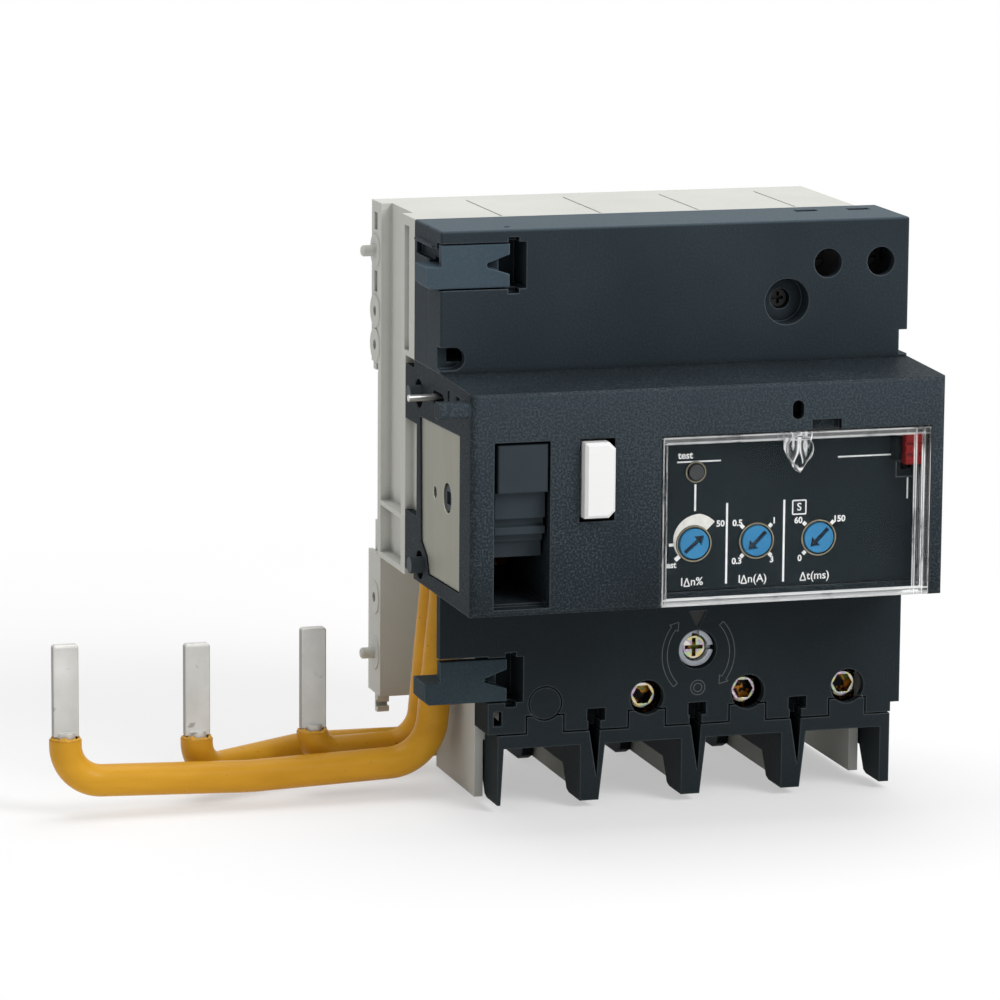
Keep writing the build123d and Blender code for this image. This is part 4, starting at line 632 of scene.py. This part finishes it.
def lettering(name, text, x, z, size, depth, material, body, align="CENTER", squeeze=1.0, stroke=0.055):
    """Printed characters, centred in height on z. size is a capital's height; stroke thickens the lines."""
    curve = bpy.data.curves.new(name, "FONT")
    curve.body = text
    curve.size = size * MM / CAPITAL_HEIGHT
    curve.align_x = align
    curve.align_y = "CENTER"
    curve.extrude = PRINT / 2 * MM
    curve.offset = stroke * MM
    curve.resolution_u = 4
    temp = bpy.data.objects.new(name + "_curve", curve)
    scene.collection.objects.link(temp)
    bpy.context.view_layer.update()
    mesh = bpy.data.meshes.new_from_object(temp.evaluated_get(bpy.context.evaluated_depsgraph_get()))
    bpy.data.objects.remove(temp)
    bpy.data.curves.remove(curve)
    turn = Matrix.Rotation(pi / 2, 4, "X") @ Matrix.Diagonal((squeeze, 1.0, 1.0, 1.0))
    mesh.transform(Matrix.Translation((x * MM, -(depth + PRINT / 2) * MM, z * MM)) @ turn)
    mesh.name = name
    mesh.materials.clear()
    mesh.materials.append(material)
    obj = bpy.data.objects.new(name, mesh)
    scene.collection.objects.link(obj)
    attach(obj, body)


# ---------------------------------------------------------------------------
# Print on the settings panel
# ---------------------------------------------------------------------------
def middle(node):
    """Middle of a node's box in X and Z, in mm."""
    low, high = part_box(node)
    return (low.x + high.x) / 2 / MM, (low.z + high.z) / 2 / MM


def front(node):
    """Depth of a node's front, in mm."""
    return -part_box(node)[0].y / MM


DIALS = [middle(f"dial_{index}") for index in (1, 2, 3)]
DIAL_XS = [x for x, _ in DIALS]
DIAL_Z = DIALS[0][1]
DIAL_FRONT = front("dial_1")
BUTTON = middle("test_button")
# The panel's face lies behind the dials' fronts; its rims are thinner than the print
PANEL = DIAL_FRONT - 0.6
RIM = 0.02


def panel_line(name, x0, z0, x1, z1, width, paint=WHITE_INK):
    bar(name, x0, z0, x1, z1, width, PANEL, paint, "housing")


def panel_text(name, text, x, z, size, **style):
    lettering(name, text, x, z, size, PANEL, WHITE_INK, "housing", **style)


# Thin bronze rings at the edges of the dials' and the button's holes
for index, x in enumerate(DIAL_XS, 1):
    ring(f"dial_rim_{index}", x, DIAL_Z, 3.42, 3.68, PANEL + 0.3, BRONZE_RIM, "housing", RIM)
ring("button_rim", *BUTTON, 1.9, 2.12, PANEL + 0.25, BRONZE_RIM, "housing", RIM)


def crescent():
    """White band round the first dial that widens clockwise to its last mark."""
    steps = 48
    near = 3.72
    inner, outer = [], []
    for i in range(steps + 1):
        turn = i / steps
        angle = radians(215.0 - 171.0 * turn)
        reach = 3.92 + 2.2 * min(1.0, turn / 0.8) ** 1.45
        inner.append((DIAL_XS[0] + near * cos(angle), DIAL_Z + near * sin(angle)))
        outer.append((DIAL_XS[0] + reach * cos(angle), DIAL_Z + reach * sin(angle)))
    print_strip("sensitivity_band", inner, outer, PANEL, IVORY_INK, "housing")


crescent()


def tick(name, x, angle, near=3.8, far=4.6, width=0.75):
    """Short line that points away from a dial's middle."""
    a = radians(angle)
    ends = [(x + reach * cos(a), DIAL_Z + reach * sin(a)) for reach in (near, far)]
    panel_line(name, *ends[0], *ends[1], width)


tick("tick_1_left", DIAL_XS[0], 181.0, 4.0, 5.2, 0.6)
tick("tick_1_low", DIAL_XS[0], 220.0, 3.8, 5.0, 0.85)
for index, angle in enumerate((45.0, 135.0, 225.0, 315.0)):
    tick(f"tick_2_{index}", DIAL_XS[1], angle)
for index, angle in enumerate((45.0, 135.0, 225.0)):
    tick(f"tick_3_{index}", DIAL_XS[2], angle)

# Numbers, each with its place from the middle of its dial
NUMBER = 1.25
for name, text, dial, right_of, above in (
    ("number_50", "50", 0, 5.6, 3.75),
    ("number_0_5", "0.5", 1, -4.0, 3.7),
    ("number_1", "1", 1, 3.75, 3.85),
    ("number_0_3", "0.3", 1, -4.05, -4.05),
    ("number_3", "3", 1, 3.35, -4.05),
    ("number_60", "60", 2, -4.3, 3.65),
    ("number_150", "150", 2, 4.4, 3.6),
    ("number_0", "0", 2, -3.9, -4.1),
):
    panel_text(name, text, DIAL_XS[dial] + right_of, DIAL_Z + above, NUMBER)
panel_text("mark_test_low", "test", DIAL_XS[0] - 4.9, DIAL_Z - 4.2, 1.3, squeeze=0.92)


def unit_label(index, letter, letter_x, delta_x, rest, rest_x):
    """Unit below a dial: a letter or none, an outlined delta, and the rest, placed from the dial's middle."""
    x = DIAL_XS[index]
    z = DIAL_Z - 7.8
    size = 1.65
    stroke = 0.02
    if letter:
        panel_text(f"unit_{index + 1}_letter", letter, x + letter_x, z, size, stroke=stroke)
    low, high = z - size / 2, z + size / 2
    corners = [(x + delta_x - 0.6, low), (x + delta_x + 0.6, low), (x + delta_x, high)]
    for side in range(3):
        panel_line(f"unit_{index + 1}_delta_{side}", *corners[side], *corners[(side + 1) % 3], 0.24)
    panel_text(f"unit_{index + 1}_rest", rest, x + rest_x, z, size, align="LEFT", stroke=stroke)


unit_label(0, "I", -2.4, -1.35, "n%", -0.6)
unit_label(1, "I", -3.45, -2.5, "n(A)", -1.75)
unit_label(2, "", 0.0, -3.15, "t(ms)", -2.35)
panel_line("divider_1", 5.35, -2.6, 5.35, -19.0, 0.42)
panel_line("divider_2", 17.45, -2.5, 17.45, -19.2, 0.42)
panel_line("button_leader", BUTTON[0], BUTTON[1] - 2.5, BUTTON[0], BUTTON[1] - 7.9, 0.4)
panel_text("mark_test", "test", -5.1, 7.4, 1.45, align="LEFT")
panel_line("test_rule", -5.3, 6.1, 3.9, 6.1, 0.3)
panel_line("upper_rule", 28.7, 5.75, 41.0, 5.75, 0.3)

# Framed S beside the third dial
FRAME_HALF = 1.4
FRAME_X = DIAL_XS[2] - 4.15
FRAME_Z = DIAL_Z + 6.35
panel_text("mark_selective", "S", FRAME_X, FRAME_Z, 1.6, stroke=0.03)
for name, x0, z0, x1, z1 in (
    ("top", -1, 1, 1, 1),
    ("bottom", -1, -1, 1, -1),
    ("left", -1, -1, -1, 1),
    ("right", 1, -1, 1, 1),
):
    panel_line(f"box_{name}", FRAME_X + x0 * FRAME_HALF, FRAME_Z + z0 * FRAME_HALF, FRAME_X + x1 * FRAME_HALF,
               FRAME_Z + z1 * FRAME_HALF, 0.28)

# Outline round the slider's field, and the short line below it
for name, x0, z0, x1, z1, width, paint in (
    ("left", 41.2, 8.6, 41.2, 1.1, 0.22, OUTLINE_INK),
    ("bottom", 41.1, 1.1, 45.2, 1.1, 0.22, OUTLINE_INK),
    ("leader", 43.7, 0.9, 43.7, -3.4, 0.32, WHITE_INK),
):
    panel_line(f"slider_{name}", x0, z0, x1, z1, width, paint)


def arrow_floor_shade(index, x, angle):
    """Near-black sheet at the floor of the arrow slot in a dial: painted shade."""
    shape = [(-2.6, -0.42), (0.7, -0.42), (0.7, -1.25), (2.55, 0.0), (0.7, 1.25), (0.7, 0.42), (-2.6, 0.42)]
    a = radians(angle)
    points = [(x + u * cos(a) - v * sin(a), DIAL_Z + u * sin(a) + v * cos(a)) for u, v in shape]
    verts = [(px * MM, -depth * MM, pz * MM) for depth in (PANEL + 0.04, PANEL + 0.01) for px, pz in points]
    count = len(points)
    faces = [tuple(range(count)), tuple(reversed(range(count, 2 * count)))]
    faces += [(i, count + i, count + (i + 1) % count, (i + 1) % count) for i in range(count)]
    make(f"dial_arrow_{index}", verts, faces, ARROW_SHADE, f"dial_{index}")


ARROW_ANGLES = (40.0, -135.0, -135.0)
for index, (x, angle) in enumerate(zip(DIAL_XS, ARROW_ANGLES), 1):
    arrow_floor_shade(index, x, angle)

# ---------------------------------------------------------------------------
# Marks on the lower cover
# ---------------------------------------------------------------------------
COVER = front("lower_cover")
LOCK = middle("lock_screw")


def cover_ring(name, x, z, inner, outer, *arc):
    ring(name, x, z, inner, outer, COVER, OUTLINE_INK, "housing", RAISED, *arc)


def curved_arrow(name, centre, radius, start, end):
    """Outlined curved arrow: two lines, a closed tail and an open head beyond the end angle."""
    half = 0.55
    line = 0.075
    head = -10.0

    def at(r, angle):
        a = radians(angle)
        return centre[0] + r * cos(a), centre[1] + r * sin(a)

    def stroke(part, first, last):
        bar(f"{name}_{part}", *first, *last, 2 * line, COVER, OUTLINE_INK, "housing", RAISED)

    for side, r in (("inner", radius - half), ("outer", radius + half)):
        cover_ring(f"{name}_{side}", *centre, r - line, r + line, min(start, end), max(start, end), 32)
    stroke("tail", at(radius - half, start), at(radius + half, start))
    tip = at(radius, end + head)
    for side, near in (("in", -half), ("out", half)):
        corner = at(radius + 2.1 * near, end)
        stroke(f"head_{side}", corner, tip)
        stroke(f"barb_{side}", corner, at(radius + near, end))


curved_arrow("turn_arrow_left", (LOCK[0] + 2.2, LOCK[1] - 1.3), 9.3, 222.0, 143.0)
curved_arrow("turn_arrow_right", (LOCK[0] - 1.6, LOCK[1] - 1.3), 9.0, 43.0, -36.0)
OPEN_MARK = (5.4, -43.9)
cover_ring("open_mark_outer", *OPEN_MARK, 1.45, 1.6)
cover_ring("open_mark_inner", *OPEN_MARK, 0.8, 0.95)
# Paint in the triangular pocket above the lock, just before the pocket's floor
POINTER_TOP = -28.05
POINTER_TIP = -31.4
pointer = [(LOCK[0] - 1.85, POINTER_TOP), (LOCK[0] + 1.85, POINTER_TOP), (LOCK[0], POINTER_TIP)]
pointer_verts = [(x * MM, -(COVER - sunk) * MM, z * MM) for sunk in (0.4, 0.37) for x, z in pointer]
pointer_faces = [(0, 1, 2), (5, 4, 3), (0, 3, 4, 1), (1, 4, 5, 2), (2, 5, 3, 0)]
make("pointer_paint", pointer_verts, pointer_faces, BLACK_INK, "housing")

# ---------------------------------------------------------------------------
# Ragged lips where the insulation was cut back from the blades
# ---------------------------------------------------------------------------
LIP_OCHRE = cable_sheath("lip_ochre", (0.55, 0.26, 0.02), (0.72, 0.42, 0.08))


def cut_lip(index):
    """Uneven torn rim on top of one lead's insulation, about the blade that stands up from it. In metres."""
    blade_width = 0.0052
    sheath_reach = 0.0034
    blade_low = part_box(f"lead_conductor_{index}")[0].x
    conductor = nodes[f"lead_conductor_{index}"].data.vertices
    blade = [v.co for v in conductor if v.co.x < blade_low + blade_width]
    tip = max(v.z for v in blade)
    top = [v for v in blade if v.z > tip - 0.003]
    x = sum(v.x for v in top) / len(top)
    y = sum(v.y for v in top) / len(top)
    sheath = nodes[f"lead_insulation_{index}"].data.vertices
    rim = [v.co for v in sheath if (v.co.x - x) ** 2 + (v.co.y - y) ** 2 < sheath_reach ** 2]
    height = max(v.z for v in rim)
    outer = max(((v.x - x) ** 2 + (v.y - y) ** 2) ** 0.5 for v in rim if v.z > height - 0.0002)
    around, across = 72, 8
    verts = []
    for i in range(around):
        turn = 2 * pi * i / around
        torn = 0.5 + 0.3 * sin(3 * turn + index) + 0.25 * sin(7 * turn + 2.1 * index) + 0.2 * sin(17 * turn)
        rise = (0.5 + 1.1 * torn) * MM
        centre = outer - (0.62 + 0.1 * sin(5 * turn + index)) * MM
        for j in range(across):
            angle = 2 * pi * j / across
            r = centre + (0.4 + 0.08 * sin(11 * turn)) * MM * cos(angle)
            z = height + rise * 0.5 * sin(angle) + 0.12 * MM
            verts.append((x + r * cos(turn), y + r * sin(turn), z))
    faces = []
    for i in range(around):
        for j in range(across):
            k, m = (i + 1) % around, (j + 1) % across
            faces.append((i * across + j, k * across + j, k * across + m, i * across + m))
    make(f"insulation_lip_{index}", verts, faces, LIP_OCHRE, "housing", True)


for index in (1, 2, 3):
    cut_lip(index)

# ---------------------------------------------------------------------------
# World, lights and floor
# ---------------------------------------------------------------------------
AMBIENT = 0.42
BACKDROP = 1.0


def straight_ray(tree):
    """Output that is 1 for rays that show the backdrop: camera, glossy and transmission rays."""
    rays = add_node(tree, "ShaderNodeLightPath").outputs
    straight = rays["Is Camera Ray"]
    for name in ("Is Glossy Ray", "Is Transmission Ray"):
        either = add_node(tree, "ShaderNodeMath", operation="MAXIMUM")
        tree.links.new(straight, either.inputs[0])
        tree.links.new(rays[name], either.inputs[1])
        straight = either.outputs[0]
    return straight


def blend(tree, factor, first, second, surface):
    """Mix two shader outputs on to a surface input."""
    both = add_node(tree, "ShaderNodeMixShader")
    for index, source in enumerate((factor, first, second)):
        tree.links.new(source, both.inputs[index])
    tree.links.new(both.outputs[0], surface)


def white_light(tree, strength):
    values = {"Color": (*WHITE, 1.0), "Strength": strength}
    return add_node(tree, "ShaderNodeBackground", values).outputs[0]


world = bpy.data.worlds.new("studio")
scene.world = world
world.use_nodes = True
wt = world.node_tree
wt.nodes.clear()
world_out = add_node(wt, "ShaderNodeOutputWorld")
blend(wt, straight_ray(wt), white_light(wt, AMBIENT), white_light(wt, BACKDROP), world_out.inputs["Surface"])


def area_light(name, place, size, power):
    """Rectangular lamp aimed at the object's origin."""
    data = bpy.data.lights.new(name, "AREA")
    data.shape = "RECTANGLE"
    data.size, data.size_y = size
    data.energy = power
    obj = bpy.data.objects.new(name, data)
    obj.location = place
    obj.rotation_euler = (Vector() - Vector(place)).to_track_quat("-Z", "Y").to_euler()
    scene.collection.objects.link(obj)


area_light("key", (0.6, -0.85, 0.75), (0.6, 0.6), 9.0)
area_light("fill", (-0.9, -0.9, 0.25), (0.8, 0.8), 0.75)
area_light("top", (0.0, 0.15, 0.95), (0.9, 0.7), 5.5)

FLOOR_GAP = 0.0004
floor_height = cad_bounds[0][2] - FLOOR_GAP
bpy.ops.mesh.primitive_plane_add(size=6.0, location=(0.0, 0.0, floor_height))
floor = bpy.context.object
floor.name = "floor"
floor_material = bpy.data.materials.new("floor")
floor_material.use_nodes = True
ft = floor_material.node_tree
floor_shader = ft.nodes["Principled BSDF"]
floor_shader.inputs["Base Color"].default_value = (*grey(0.90), 1.0)
floor_shader.inputs["Roughness"].default_value = 0.8
floor_shader.inputs["Specular IOR Level"].default_value = 0.1
# Away from the object the floor shows as white backdrop, and near it it keeps the shadow
plain_white = add_node(ft, "ShaderNodeEmission", {"Strength": BACKDROP})
floor_place = add_node(ft, "ShaderNodeTexCoord")
distance = add_node(ft, "ShaderNodeVectorMath", operation="LENGTH")
ft.links.new(floor_place.outputs["Object"], distance.inputs[0])
fade_ends = {"From Min": 0.12, "From Max": 0.32, "To Min": 0.45}
fade = add_node(ft, "ShaderNodeMapRange", fade_ends, interpolation_type="SMOOTHSTEP")
ft.links.new(distance.outputs["Value"], fade.inputs["Value"])
whiten = add_node(ft, "ShaderNodeMath", operation="MULTIPLY")
ft.links.new(straight_ray(ft), whiten.inputs[0])
ft.links.new(fade.outputs["Result"], whiten.inputs[1])
blend(ft, whiten.outputs[0], floor_shader.outputs["BSDF"], plain_white.outputs["Emission"],
      ft.nodes["Material Output"].inputs["Surface"])
floor.data.materials.append(floor_material)
